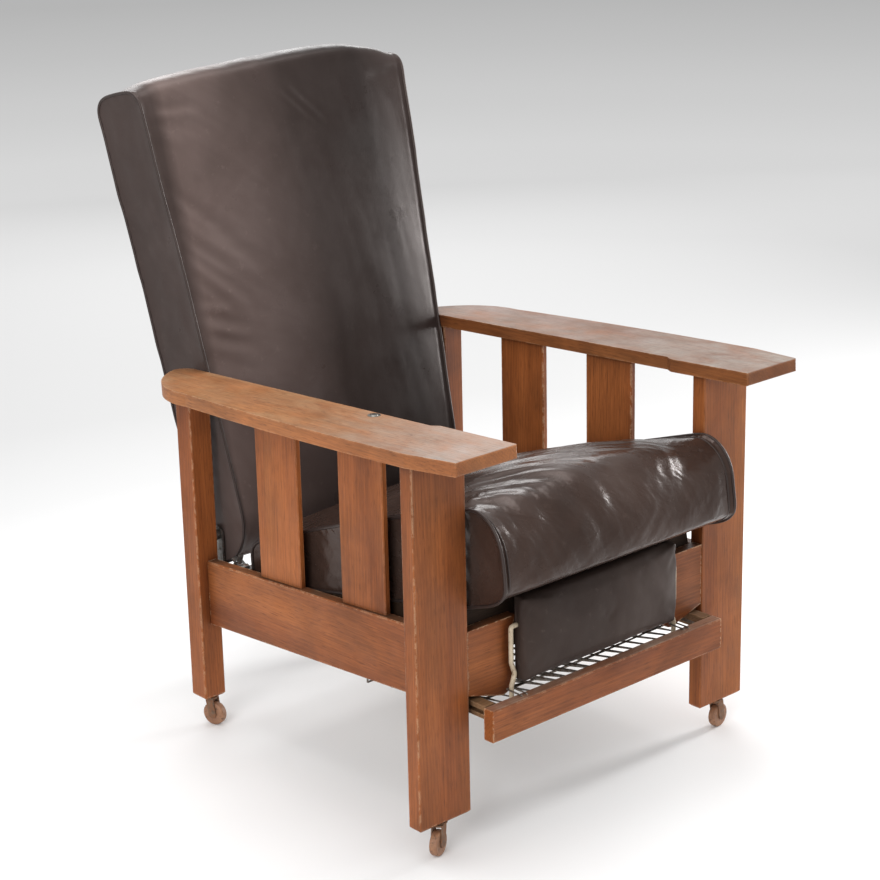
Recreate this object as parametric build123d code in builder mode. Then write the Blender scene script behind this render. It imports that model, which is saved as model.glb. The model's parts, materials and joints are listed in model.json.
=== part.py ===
from build123d import *
import os
from math import atan, cos, degrees, radians, sin, tan

os.makedirs("parts", exist_ok=True)

# A reclining oak armchair with sloping flat arms, slatted sides, a sprung leather seat,
# a leather back held by a push-button friction clutch, a leg rest that pulls out on a
# carriage with a wire newspaper basket, and four castors.
# X runs to the right as seen from the front, Y runs to the rear, Z is up.
# The origin is on the floor under the middle of the whole chair.

# Overall sizes in millimetres
frame_width = 720.0  # over the outer faces of the front posts
frame_depth = 646.0  # front face of the front posts to rear face of the back posts
arm_height = 624.0  # underside of the arm at the front posts
arm_slope = 0.048  # fall of the arms to the rear
back_recline = 14.0  # lean of the back at rest, degrees
foot_z = 52.0  # underside of the posts above the floor

# Shared clearances and cuts
seat_gap = 0.3  # between pieces that rest on one another
running_gap = 0.06  # radial, for a pin that turns in a hole
socket_gap = 0.1  # radial, for a sleeve in wood
overrun = 5.0  # how far a cut runs past what it cuts

# Posts
front_post_width = 102.0
front_post_thick = 26.0
back_post_width = 42.0
back_post_thick = 38.0
back_post_inset = 60.0
post_edge = 2.5
foot_chamfer = 4.0

# Arms
arm_thick = 21.0
arm_overhang = 97.0
arm_inset = 106.0  # inner edge, inside the outer faces of the front posts
arm_step = 8.0
arm_step_start = 62.0
arm_step_run = 14.0
arm_front_side = 3.0  # how far the front end stands out past the posts
arm_side = 16.5
arm_widen_run = 93.0
arm_belly = 225.0
arm_rear_side = 2.0
arm_round_run = 116.0  # the rounded end starts this far before the rear of the frame
arm_round_in = 26.0
arm_round_back = 14.0
arm_end_in = 82.0
arm_end_past = 30.0
arm_corner_in = 99.0
arm_corner_past = 22.0
arm_inner_past = 4.0
arm_edge = 3.0

# Side rails and slats
rail_slope = 0.065
rail_bottom = 225.5  # at the front posts' faces
rail_height = 112.0
rail_inset = 78.0  # inside the outer faces of the front posts
rail_thick = 18.0
rail_edge = 1.5
slat_width = 103.0
slat_thick = 10.2
slat_inset = 7.0  # inside the rail's outer face
front_slat_start = 164.0
rear_slat_back = 278.0  # from the rear of the frame

# Front brackets beside the leg rest
bracket_top = 342.0
bracket_height = 122.0
bracket_thick = 18.0
bracket_setback = 2.0
bracket_reach = 98.5  # from the inner edge of the front post
bracket_waist = 9.0
bracket_toe = 30.0
bracket_heel_rise = 20.0
# Scrolled end: how far in as a share of the waist, how far down as a share of the height
bracket_scroll_shares = (
    (0.0, 0.0), (0.82, 0.2), (1.0, 0.43), (0.84, 0.63), (0.33, 0.77), (0.52, 0.87), (1.5, 0.96)
)

# Cross rails
cross_rail_thick = 20.0
front_cross_depth = 60.0
front_cross_height = 58.0
rear_cross_bottom = 200.0
rear_cross_height = 50.0
seat_rest_back = 158.0  # from the rear of the frame
seat_rest_height = 38.0

# Sprung seat: its underside lies on a plane that falls to the rear
seat_front_z = 375.0
seat_slope = 0.19
seat_bar_width = 22.0
seat_bar_height = 38.0
seat_margin = 11.5  # how far the seat stands out past the back on each side
seat_frame_start = 30.0
seat_frame_back = 138.0  # from the rear of the frame
web_thick = 2.0
web_width = 50.0
web_pitch = 88.0
web_count = 5
cushion_back = 124.0  # from the rear of the frame
cushion_rear_lean = 5.0
cushion_nose = 38.0
cushion_kink = 30.0
cushion_nose_low = 392.0
nose_reach = 74.0
nose_low = 418.0
nose_high = 478.0
nose_high_reach = 66.0
nose_roll = 8.0
cushion_top = 533.0
cushion_fall = 0.352
cushion_top_back = 141.0
cushion_rear_drop = 18.0
cushion_side_bow = 6.0
cushion_crown = 38.0
crown_front = 28.0
crown_rear = 22.0
nose_crown = 8.0
cushion_shares = (-1.0, -0.62, 0.0, 0.62, 1.0)
crown_power = 2.4

# Back: its own frame has the pivot at its origin, +Z up the back and +Y to its rear
pivot_inset = 16.0  # ahead of the rear faces of the back posts
pivot_z = 330.0
back_front = 80.0
back_rear = 44.0
back_top = 726.0
back_bottom = 50.0
back_inset = 121.5  # side of the back at the pivot, inside the outer faces of the posts
back_flare = 0.050  # growth of the half width along the back
back_round = 85.0
back_corner = 24.0
back_rear_corner = 14.0
back_crown = 28.0
back_top_crown = 45.0
back_side_bow = 2.0
back_frame_depth = 24.0
back_frame_wall = 8.0
back_bar_width = 42.0
back_panel_thick = 3.0
back_panel_inset = 3.0
back_mid_rail = 330.0

# Pivot pins, hinge plates and the quadrant
pin_radius = 5.0
pin_depth = 17.0
collar_radius = 9.0
collar_gap = 0.4
plate_thick = 3.5
plate_gap = 1.2
plate_width = 30.0
plate_lap = 32.0  # from the pivot to the screws in the stile, across the back
screw_rises = (-12.0, -34.0)
screw_radius = 2.2
screw_head = 4.5
screw_head_thick = 1.5
screw_grip = 6.0
quadrant_radius = 70.0
quadrant_rod = 4.5
quadrant_start = 4.0  # degrees from straight down, towards the front
quadrant_end = 74.0
quadrant_offset = 2.0

# Clutch on the left rail
guide_angle = 50.0
guide_half = 5.0  # degrees either side of the guide's middle
guide_radius = 8.0
guide_bore_gap = 0.35
lever_angle = 62.0
lever_hub_radius = 5.5
lever_pin_radius = 3.0
lever_offset = 14.0  # hub outside the quadrant rod
lever_arm = 36.0
lever_swing = 5.0  # degrees either side of straight down
bite_thick = 3.0
bite_width = 16.0
bite_hole_gap = 0.9
bite_reach = 12.0
bracket_plate = 2.5

# Push button, push rod, bell crank and link
button_depth = 187.0
button_inset = 12.0  # outside the inner edge of the arm
button_radius = 6.0
button_head = 4.0
button_proud = 1.2
button_stem = 3.5
button_travel = 6.0
button_gap = 0.3
plate_radius = 10.0
plate_sink = 1.2
plate_height = 1.5
pocket_depth = 11.0
pocket_low_out = 6.0
pocket_high_in = 9.5
pocket_half = 7.0
rod_thick = 5.0
rod_half = 4.0
rod_pad = 3.0
tip_share = 0.98
crank_reach = 24.0
crank_swing = 7.5
crank_thick = 3.0
crank_hub = 7.0
crank_arm_half = 4.0
crank_pin = 3.0
crank_pin_head = 5.5
link_radius = 1.8
link_eye = 6.0
link_eye_thick = 3.0
link_pin = 2.5
link_pin_gap = 0.6

# Leg-rest carriage
footboard_front = 46.0
footboard_thick = 20.0
footboard_bottom = 178.0
footboard_height = 51.0
footboard_inset = 107.0
footboard_edge = 2.0
runner_inset = 14.0  # inside the side rails
runner_width = 18.0
runner_bottom = 209.0
runner_height = 21.0
runner_length = 425.0
groove_depth = 8.0
groove_height = 7.0
groove_rise = 6.5
guide_gap = 0.6
guide_start = 30.0
guide_length = 372.0
guide_height = 28.0
guide_rise = 3.0
guide_body = 12.6
tail_bar_thick = 18.0
basket_front_z = 218.0
basket_rear_z = 150.0
basket_rear = 365.0
basket_rim_z = 223.0
basket_side_gap = 11.0
basket_wire = 1.4
basket_rim_wire = 2.2
basket_wires = 16
basket_cross_wires = 5
basket_bend = 6.0
rim_bend = 10.0

# Leg-rest pad and the bent rods that carry it
pad_half = 168.0
pad_bottom = 242.0
pad_top = 377.0
pad_front = 34.0
pad_leather = 20.0
pad_board = 12.0
pad_wall = 6.0
pad_round = 6.0
pad_swell = 5.0
pad_side_bow = 1.0
rod_radius = 3.75
rod_side = 12.0  # from the side of the pad
rod_wire_steps = 7  # wires of the basket between the middle and a rod
rod_ahead = 9.0  # ahead of the front faces of the posts
rod_foot_drop = 17.0  # below the top of the footboard
rod_foot_grip = 8.0
rod_kink = 7.0
rod_kink_low = 23.0
rod_kink_mid = 42.0
rod_kink_high = 61.0
rod_end_rise = 119.0
rod_end_grip = 16.0
rod_bend = 5.0
staple_wire = 1.3
staple_grip = 6.0
staple_set = 10.0  # from the rear of the footboard to the legs of the staple
staple_bend = 1.5

# Castors
caster_wheel = 20.0
caster_wheel_width = 13.0
caster_wheel_round = 3.0
caster_trail = 10.0
caster_axle = 2.5
caster_fork_thick = 2.2
caster_fork_gap = 0.6
caster_fork_half = 7.0
caster_crown_thick = 3.0
caster_stem = 4.5
caster_stem_length = 34.0
socket_wall = 1.8
socket_flange = 11.0
socket_flange_thick = 2.0
caster_rest_angles = {
    "front_left": 203.0,
    "front_right": 8.0,
    "back_left": -70.0,
    "back_right": 40.0,
}

# Worked out from the sizes above
post_half = frame_width / 2
arm_inner = post_half - arm_inset
arm_front_outer = post_half + arm_front_side
arm_outer = post_half + arm_side
arm_outer_rear = post_half + arm_rear_side
arm_round_start = frame_depth - arm_round_run
arm_round_mid = frame_depth - arm_round_back
arm_end = frame_depth + arm_end_past
arm_corner_mid = frame_depth + arm_corner_past
arm_corner = frame_depth + arm_inner_past
rail_outer = post_half - rail_inset
rail_inner = rail_outer - rail_thick
slat_outer = rail_outer - slat_inset
rear_slat_start = frame_depth - rear_slat_back
seat_rest_depth = frame_depth - seat_rest_back
seat_frame_end = frame_depth - seat_frame_back
seat_frame_length = seat_frame_end - seat_frame_start
cushion_rear = frame_depth - cushion_back
cushion_rear_top = frame_depth - cushion_top_back
pivot_depth = frame_depth - pivot_inset
back_half = post_half - back_inset
seat_half = back_half + seat_margin
button_x = arm_inner + button_inset
pocket_x_low = button_x + pocket_low_out
pocket_x_high = button_x - pocket_high_in
footboard_half = post_half - footboard_inset
runner_outer = rail_inner - runner_inset
basket_half = runner_outer - runner_width - basket_side_gap
rod_leg = pad_half + rod_side
basket_pitch = rod_leg / rod_wire_steps
lean = radians(back_recline)
panel_rear = back_rear + seat_gap + back_panel_thick
back_reach = (back_top - back_rear_corner) * sin(lean) + panel_rear * cos(lean)
overall_depth = arm_overhang + pivot_depth + back_reach
front_y = arm_overhang - overall_depth / 2
front_post_inner = post_half - front_post_width
back_post_outer = post_half - back_post_inset
back_post_inner = back_post_outer - back_post_width
back_post_front = frame_depth - back_post_thick
bracket_edge = front_post_inner - bracket_reach
pivot_y = front_y + pivot_depth
back_plane = Plane(
    origin=(0, pivot_y, pivot_z), x_dir=(1, 0, 0), z_dir=(0, sin(lean), cos(lean))
)


def deep(depth):
    # Y of a place this far behind the front faces of the front posts
    return front_y + depth


def arm_under(depth):
    return arm_height - arm_slope * depth


def rail_low(depth):
    return rail_bottom - rail_slope * depth


def seat_low(depth):
    return seat_front_z - seat_slope * depth


def back_width(rise):
    return back_half + back_flare * rise


def save(piece, name):
    piece.label = name
    export_step(piece, f"parts/{name}.step")


def save_pair(piece, name):
    save(piece, f"{name}_left")
    save(mirror(piece, about=Plane.YZ), f"{name}_right")


def save_both(piece, name):
    # The piece and its mirror image as two solids of one file
    with BuildPart() as both:
        add(piece)
        mirror(about=Plane.YZ)
    save(both.part, name)


# Stem places of the four castors
front_stem_x = post_half - front_post_width / 2
back_stem_x = back_post_outer - back_post_width / 2
front_stem_y = deep(front_post_thick / 2)
back_stem_y = deep(back_post_front + back_post_thick / 2)
stem_places = {
    "front_left": (-front_stem_x, front_stem_y),
    "front_right": (front_stem_x, front_stem_y),
    "back_left": (-back_stem_x, back_stem_y),
    "back_right": (back_stem_x, back_stem_y),
}
socket_radius = caster_stem + running_gap + socket_wall
socket_bore = socket_radius + socket_gap
socket_depth = caster_stem_length + seat_gap + socket_wall

# Front posts: wide flat boards, cut to the slope of the arms
with BuildPart() as front_post:
    with BuildSketch(Plane.YZ.offset(-post_half)):
        with BuildLine():
            Polyline(
                (deep(0), foot_z),
                (deep(front_post_thick), foot_z),
                (deep(front_post_thick), arm_under(front_post_thick)),
                (deep(0), arm_under(0)),
                close=True,
            )
        make_face()
    extrude(amount=front_post_width)
    chamfer(front_post.faces().sort_by(Axis.Z)[0].edges(), foot_chamfer)
    fillet(front_post.edges().filter_by(Axis.Z), post_edge)
    with BuildSketch(Plane.XY.offset(foot_z)):
        with Locations((-front_stem_x, front_stem_y)):
            Circle(socket_bore)
    extrude(amount=socket_depth, mode=Mode.SUBTRACT)
save_pair(front_post.part, "front_post")

# Back posts: square, with a blind hole for the pivot pin
with BuildPart() as back_post:
    with BuildSketch(Plane.YZ.offset(-back_post_outer)):
        with BuildLine():
            Polyline(
                (deep(back_post_front), foot_z),
                (deep(frame_depth), foot_z),
                (deep(frame_depth), arm_under(frame_depth)),
                (deep(back_post_front), arm_under(back_post_front)),
                close=True,
            )
        make_face()
    extrude(amount=back_post_width)
    chamfer(back_post.faces().sort_by(Axis.Z)[0].edges(), foot_chamfer)
    fillet(back_post.edges().filter_by(Axis.Z), post_edge)
    with BuildSketch(Plane.XY.offset(foot_z)):
        with Locations((-back_stem_x, back_stem_y)):
            Circle(socket_bore)
    extrude(amount=socket_depth, mode=Mode.SUBTRACT)
    with BuildSketch(Plane.YZ.offset(-back_post_inner)):
        with Locations((pivot_y, pivot_z)):
            Circle(pin_radius + socket_gap)
    extrude(amount=-(pin_depth + seat_gap), mode=Mode.SUBTRACT)
save_pair(back_post.part, "back_post")

# Arms: flat boards with a rounded rear end and a small step on the inner edge
arm_lift = atan(arm_slope)
arm_normal = (0, sin(arm_lift), cos(arm_lift))
arm_plane = Plane(
    origin=(0, front_y, arm_height + seat_gap), x_dir=(1, 0, 0), z_dir=arm_normal
)
with BuildPart() as arm:
    with BuildSketch(arm_plane):
        with BuildLine():
            Polyline(
                (-arm_inner, arm_corner),
                (-arm_inner, arm_step_start + arm_step_run),
                (-(arm_inner - arm_step), arm_step_start),
                (-(arm_inner - arm_step), -arm_overhang),
                (-arm_front_outer, -arm_overhang),
                (-arm_outer, arm_widen_run - arm_overhang),
            )
            ThreePointArc(
                (-arm_outer, arm_widen_run - arm_overhang),
                (-arm_outer, arm_belly),
                (-arm_outer_rear, arm_round_start),
            )
            ThreePointArc(
                (-arm_outer_rear, arm_round_start),
                (-(post_half - arm_round_in), arm_round_mid),
                (-(post_half - arm_end_in), arm_end),
            )
            ThreePointArc(
                (-(post_half - arm_end_in), arm_end),
                (-(post_half - arm_corner_in), arm_corner_mid),
                (-arm_inner, arm_corner),
            )
        make_face()
    extrude(amount=arm_thick)
    fillet(arm.faces().sort_by(Axis.Z)[-1].edges(), arm_edge)
right_arm = mirror(arm.part, about=Plane.YZ)
save(right_arm, "arm_right")

# The left arm is bored for the push button and pocketed for the head of its rod
button_plane = Plane(
    origin=(-button_x, deep(button_depth), arm_under(button_depth) + seat_gap),
    x_dir=(1, 0, 0),
    z_dir=(0, 0, 1),
)
arm_face = arm_thick / cos(arm_lift)
with BuildPart() as left_arm:
    add(arm.part)
    with BuildSketch(button_plane.offset(arm_face - plate_sink)):
        Circle(plate_radius + socket_gap)
    extrude(amount=plate_sink + overrun, mode=Mode.SUBTRACT)
    with BuildSketch(button_plane):
        Circle(button_radius + button_gap)
    extrude(amount=arm_face + overrun, mode=Mode.SUBTRACT)
    with BuildSketch(button_plane.offset(-overrun)):
        with Locations((button_x - (pocket_x_low + pocket_x_high) / 2, 0)):
            Rectangle(pocket_x_low - pocket_x_high, 2 * pocket_half)
    extrude(amount=pocket_depth + overrun, mode=Mode.SUBTRACT)
save(left_arm.part, "arm_left")

# Side rails slope down to the rear between the posts
with BuildPart() as side_rail:
    rail_front = front_post_thick + seat_gap
    rail_end = back_post_front - seat_gap
    with BuildSketch(Plane.YZ.offset(-rail_outer)):
        with BuildLine():
            Polyline(
                (deep(rail_front), rail_low(rail_front)),
                (deep(rail_end), rail_low(rail_end)),
                (deep(rail_end), rail_low(rail_end) + rail_height),
                (deep(rail_front), rail_low(rail_front) + rail_height),
                close=True,
            )
        make_face()
    extrude(amount=rail_thick)
    chamfer(side_rail.faces().sort_by(Axis.X)[0].edges(), rail_edge)
save_pair(side_rail.part, "side_rail")


def slat(start):
    end = start + slat_width
    with BuildPart() as board:
        with BuildSketch(Plane.YZ.offset(-slat_outer)):
            with BuildLine():
                Polyline(
                    (deep(start), rail_low(start) + rail_height + seat_gap),
                    (deep(end), rail_low(end) + rail_height + seat_gap),
                    (deep(end), arm_under(end)),
                    (deep(start), arm_under(start)),
                    close=True,
                )
            make_face()
        extrude(amount=slat_thick)
        chamfer(board.edges().filter_by(Axis.Z), rail_edge)
    return board.part


save_pair(slat(front_slat_start), "front_slat")
save_pair(slat(rear_slat_start), "rear_slat")

# Scrolled brackets between the front posts and the leg rest
bracket_low = bracket_top - bracket_height
bracket_end = (-(bracket_edge + bracket_toe), bracket_low)
scroll = [
    (-(bracket_edge + bracket_waist * across), bracket_top - bracket_height * down)
    for across, down in bracket_scroll_shares
]
with BuildPart() as front_bracket:
    with BuildSketch(Plane.XZ.offset(-deep(bracket_setback))):
        with BuildLine():
            Polyline(
                bracket_end,
                (-(front_post_inner - seat_gap), bracket_low + bracket_heel_rise),
                (-(front_post_inner - seat_gap), bracket_top),
                scroll[0],
            )
            Spline(*scroll, bracket_end)
        make_face()
    extrude(amount=-bracket_thick)
save_pair(front_bracket.part, "front_bracket")

# Cross rails: one at the front and one at the rear carry the seat, one ties the back posts
bar_top = web_thick + 2 * seat_gap
seat_fall = atan(seat_slope)
seat_drop = (bar_top + seat_bar_height + seat_gap) / cos(seat_fall)
front_cross_top = seat_low(front_cross_depth + cross_rail_thick) - seat_drop
with BuildPart() as front_cross_rail:
    with BuildSketch(Plane.XY.offset(front_cross_top - front_cross_height)):
        with Locations((0, deep(front_cross_depth + cross_rail_thick / 2))):
            Rectangle(2 * (rail_inner - seat_gap), cross_rail_thick)
    extrude(amount=front_cross_height)
save(front_cross_rail.part, "front_cross_rail")

seat_rest_top = seat_low(seat_rest_depth + cross_rail_thick) - seat_drop
with BuildPart() as seat_rest_rail:
    with BuildSketch(Plane.XY.offset(seat_rest_top - seat_rest_height)):
        with Locations((0, deep(seat_rest_depth + cross_rail_thick / 2))):
            Rectangle(2 * (rail_inner - seat_gap), cross_rail_thick)
    extrude(amount=seat_rest_height)
save(seat_rest_rail.part, "seat_rest_rail")

with BuildPart() as rear_cross_rail:
    with BuildSketch(Plane.XY.offset(rear_cross_bottom)):
        with Locations((0, deep(frame_depth - cross_rail_thick / 2))):
            Rectangle(2 * (back_post_inner - seat_gap), cross_rail_thick)
    extrude(amount=rear_cross_height)
    chamfer(rear_cross_rail.edges().filter_by(Axis.X), rail_edge)
save(rear_cross_rail.part, "rear_cross_rail")

# Seat frame of four bars with woven webbing over it
seat_plane = Plane(
    origin=(0, front_y, seat_front_z),
    x_dir=(1, 0, 0),
    z_dir=(0, sin(seat_fall), cos(seat_fall)),
)

def seat_bar(width, length, x, along):
    with BuildPart() as bar:
        with BuildSketch(seat_plane.offset(-bar_top)):
            with Locations((x, along)):
                Rectangle(width, length)
        extrude(amount=-seat_bar_height)
        chamfer(bar.faces().sort_by(Axis.Z)[-1].edges(), rail_edge)
    return bar.part


side_bar_x = seat_half - seat_bar_width / 2
side_bar_length = seat_frame_length - 2 * seat_bar_width - 2 * seat_gap
side_bar_mid = seat_frame_start + seat_frame_length / 2
save_pair(
    seat_bar(seat_bar_width, side_bar_length, -side_bar_x, side_bar_mid), "seat_bar"
)
front_bar = seat_bar(
    2 * seat_half, seat_bar_width, 0, seat_frame_start + seat_bar_width / 2
)
save(front_bar, "seat_bar_front")
rear_bar = seat_bar(
    2 * seat_half, seat_bar_width, 0, seat_frame_end - seat_bar_width / 2
)
save(rear_bar, "seat_bar_rear")

with BuildPart() as seat_webbing:
    with BuildSketch(seat_plane.offset(-seat_gap - web_thick)):
        with Locations((0, side_bar_mid)):
            with GridLocations(web_pitch, 0, web_count, 1):
                Rectangle(web_width, seat_frame_length)
            with GridLocations(0, web_pitch, 1, web_count):
                Rectangle(2 * seat_half, web_width)
    extrude(amount=web_thick)
save(seat_webbing.part, "seat_webbing")


def cushion_outline(share):
    # Side outline of the seat cushion at this share of its half width
    crown = 1.0 - abs(share) ** crown_power
    top_mid = (cushion_rear_top - nose_roll) / 2
    top_mid_z = cushion_top - cushion_fall * (top_mid + nose_roll)
    tail_z = cushion_top - cushion_fall * (cushion_rear_top + nose_roll)
    rear_low = (deep(cushion_rear), seat_low(cushion_rear) + seat_gap)
    kink = (deep(cushion_kink), seat_low(cushion_kink) + seat_gap)
    front_low = (deep(-cushion_nose), cushion_nose_low)
    chin = (deep(-nose_reach - nose_crown * crown), nose_low)
    brow_y = -nose_high_reach - nose_crown * crown
    brow = (deep(brow_y), nose_high + nose_crown * crown)
    lip = (deep(-nose_roll), cushion_top + crown_front * crown)
    crest = (deep(top_mid), top_mid_z + cushion_side_bow + cushion_crown * crown)
    tail = (deep(cushion_rear_top), tail_z + crown_rear * crown)
    heel_z = tail_z - cushion_rear_drop + crown_rear * crown
    heel = (deep(cushion_rear + cushion_rear_lean), heel_z)
    run_in = (front_low[0] - kink[0], front_low[1] - kink[1])
    rise_in = (brow[0] - chin[0], brow[1] - chin[1])
    with BuildSketch(Plane.YZ.offset(seat_half * share)) as section:
        with BuildLine():
            Line(rear_low, kink)
            Line(kink, front_low)
            TangentArc(front_low, chin, tangent=run_in)
            Line(chin, brow)
            TangentArc(brow, lip, tangent=rise_in)
            ThreePointArc(lip, crest, tail)
            Line(tail, heel)
            Line(heel, rear_low)
        make_face()
    return section.sketch


# Seat cushion: crowned, with a rolled front edge, thinner at the rear
seat_sections = [cushion_outline(share) for share in cushion_shares]
with BuildPart() as seat_cushion:
    add(seat_sections)
    loft()
save(seat_cushion.part, "seat_cushion")


def back_outline(share):
    # Side outline of the back at this share of its half width, in the back's own frame
    crown = 1.0 - abs(share) ** crown_power
    bow = back_side_bow + back_crown * crown
    centre_y = back_round - back_front
    centre_z = back_round - back_bottom
    mid = back_round * sin(radians(45))
    front_top = back_top - back_corner + back_top_crown * crown
    top = back_top + back_top_crown * crown
    rear_top = back_top - back_rear_corner
    front_mid = (front_top + centre_z) / 2
    tilt = share * back_flare
    across = Plane(
        origin=(share * back_half, 0, 0), x_dir=(0, 1, 0), z_dir=(1, 0, -tilt)
    )
    with BuildSketch(across) as section:
        with BuildLine():
            Line((back_rear, -back_bottom), (centre_y, -back_bottom))
            ThreePointArc(
                (centre_y, -back_bottom),
                (centre_y - mid, centre_z - mid),
                (-back_front, centre_z),
            )
            ThreePointArc(
                (-back_front, centre_z),
                (-back_front - bow, front_mid),
                (-back_front, front_top),
            )
            ThreePointArc(
                (-back_front, front_top),
                (-back_front + back_corner * (1 - sin(radians(45))),
                 top - back_corner * (1 - sin(radians(45)))),
                (-back_front + back_corner, top),
            )
            ThreePointArc(
                (-back_front + back_corner, top),
                (0, top + back_side_bow),
                (back_rear - back_rear_corner, (top + back_top) / 2),
            )
            Line(
                (back_rear - back_rear_corner, (top + back_top) / 2),
                (back_rear, rear_top),
            )
            Line((back_rear, rear_top), (back_rear, -back_bottom))
        make_face()
    return section.sketch


def back_taper(low, high, inset):
    # Outline that follows the taper of the back, this far inside its sides
    with BuildSketch() as outline:
        with BuildLine():
            Polyline(
                (-(back_width(low) - inset), low),
                (back_width(low) - inset, low),
                (back_width(high) - inset, high),
                (-(back_width(high) - inset), high),
                close=True,
            )
        make_face()
    return outline.sketch


def place_on_back(piece):
    return piece.moved(back_plane.location)


# Back cushion: a boxed, crowned block with a rounded lower front edge and a rear recess
frame_low = -back_bottom
frame_high = back_top - back_rear_corner - back_frame_wall
rear_face = Plane.XZ.offset(-back_rear)
back_sections = [back_outline(share) for share in cushion_shares]
recess = back_taper(frame_low - overrun, frame_high, back_frame_wall)
screw_places = [(plate_lap, rise) for rise in screw_rises]
screw_end = back_half - back_frame_wall - screw_grip
with BuildPart() as back_cushion:
    add(back_sections)
    loft()
    with BuildSketch(rear_face.offset(-overrun)):
        add(recess)
    extrude(amount=back_frame_depth + seat_gap + overrun, mode=Mode.SUBTRACT)
    for side in (-1, 1):
        with BuildSketch(Plane.YZ.offset(side * (back_half + overrun))):
            with Locations(*screw_places):
                Circle(screw_radius + socket_gap)
        extrude(amount=-side * (overrun + 2 * back_frame_wall), mode=Mode.SUBTRACT)
save(place_on_back(back_cushion.part), "back_cushion")

# Wooden frame of the back: two stiles and three rails
bar_inset = back_frame_wall + seat_gap
bar_high = frame_high - seat_gap
with BuildPart() as back_stile:
    with BuildSketch(rear_face):
        with BuildLine():
            Polyline(
                (-(back_width(frame_low) - bar_inset), frame_low),
                (-(back_width(frame_low) - bar_inset - back_bar_width), frame_low),
                (-(back_width(bar_high) - bar_inset - back_bar_width), bar_high),
                (-(back_width(bar_high) - bar_inset), bar_high),
                close=True,
            )
        make_face()
    extrude(amount=back_frame_depth)
    with BuildSketch(Plane.YZ.offset(-screw_end + seat_gap)):
        with Locations(*screw_places):
            Circle(screw_radius + socket_gap)
    extrude(amount=-(screw_grip + back_frame_wall), mode=Mode.SUBTRACT)
save_pair(place_on_back(back_stile.part), "back_stile")


def back_rail(low):
    outline = back_taper(low, low + back_bar_width, bar_inset + back_bar_width + seat_gap)
    with BuildPart() as rail:
        with BuildSketch(rear_face):
            add(outline)
        extrude(amount=back_frame_depth)
    return place_on_back(rail.part)


save(back_rail(bar_high - back_bar_width), "back_top_rail")
save(back_rail(back_mid_rail), "back_mid_rail")
save(back_rail(frame_low), "back_bottom_rail")

# Rear panel of the back
panel_outline = back_taper(frame_low, back_top - back_rear_corner, back_panel_inset)
with BuildPart() as back_panel:
    with BuildSketch(rear_face.offset(-seat_gap)):
        add(panel_outline)
    extrude(amount=-back_panel_thick)
save(place_on_back(back_panel.part), "back_panel")

# Shoulder pins in the back posts, on which the back turns
plate_inner = back_half + plate_gap
plate_outer = plate_inner + plate_thick
with BuildPart() as pivot_pin:
    with BuildSketch(Plane.YZ.offset(-(back_post_inner + pin_depth))):
        with Locations((pivot_y, pivot_z)):
            Circle(pin_radius)
    extrude(amount=back_post_inner + pin_depth - plate_inner)
    with BuildSketch(Plane.YZ.offset(-(back_post_inner - seat_gap))):
        with Locations((pivot_y, pivot_z)):
            Circle(collar_radius)
    extrude(amount=back_post_inner - seat_gap - plate_outer - collar_gap)
save_both(pivot_pin.part, "back_pivot_pins")


def around_pivot(angle, radius):
    # Y and Z at this angle from straight down towards the front, about the back's pivot
    turn = radians(angle)
    return (pivot_y - radius * sin(turn), pivot_z - radius * cos(turn))


def pivot_tangent(angle):
    turn = radians(angle)
    return (0, -cos(turn), sin(turn))


def beside_back(rear, rise):
    # Y and Z of a place on the side of the back, from its own rear and upward sizes
    return (
        pivot_y + rear * cos(lean) + rise * sin(lean),
        pivot_z - rear * sin(lean) + rise * cos(lean),
    )


screw_spots = [beside_back(*place) for place in screw_places]
pivot_axis = Axis((0, pivot_y, pivot_z), (-1, 0, 0))
rod_x = -(plate_outer + quadrant_offset)


def ring_plane(angle):
    # Plane across the quadrant rod at this angle
    y, z = around_pivot(angle, quadrant_radius)
    return Plane(origin=(rod_x, y, z), x_dir=(1, 0, 0), z_dir=pivot_tangent(angle))


def plate_screws(side):
    # Two screws with round heads, from the plate through the leather into the stile
    with BuildPart() as screws:
        with BuildSketch(Plane.YZ.offset(side * screw_end)):
            with Locations(*screw_spots):
                Circle(screw_radius)
        extrude(amount=side * (plate_outer - screw_end))
        with BuildSketch(Plane.YZ.offset(side * (plate_outer - plate_thick / 2))):
            with Locations(*screw_spots):
                Circle(screw_head)
        extrude(amount=side * (plate_thick / 2 + screw_head_thick))
    return screws.part


# Right hinge plate, and the left one with the quadrant rod that the clutch grips
with BuildPart() as hinge_plate:
    with BuildSketch(Plane.YZ.offset(plate_inner)):
        with Locations((pivot_y, pivot_z), around_pivot(0, plate_width)):
            Circle(plate_width / 2)
        with Locations(*screw_spots):
            Circle(2 * screw_head)
        make_hull()
        with Locations((pivot_y, pivot_z)):
            Circle(pin_radius + running_gap, mode=Mode.SUBTRACT)
    extrude(amount=plate_thick)
    add(plate_screws(1))
save(hinge_plate.part, "hinge_plate_right")

with BuildPart() as quadrant:
    with BuildSketch(Plane.YZ.offset(-plate_outer)):
        with Locations((pivot_y, pivot_z)):
            Circle(plate_width / 2)
        with Locations(around_pivot(quadrant_start, quadrant_radius)):
            Circle(2 * quadrant_rod)
        with Locations(*screw_spots):
            Circle(2 * screw_head)
        make_hull()
        with Locations((pivot_y, pivot_z)):
            Circle(pin_radius + running_gap, mode=Mode.SUBTRACT)
    extrude(amount=plate_thick)
    with BuildSketch(ring_plane(quadrant_start)):
        Circle(quadrant_rod)
    revolve(axis=pivot_axis, revolution_arc=quadrant_end - quadrant_start)
    add(plate_screws(-1))
save(quadrant.part, "recline_quadrant")

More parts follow.
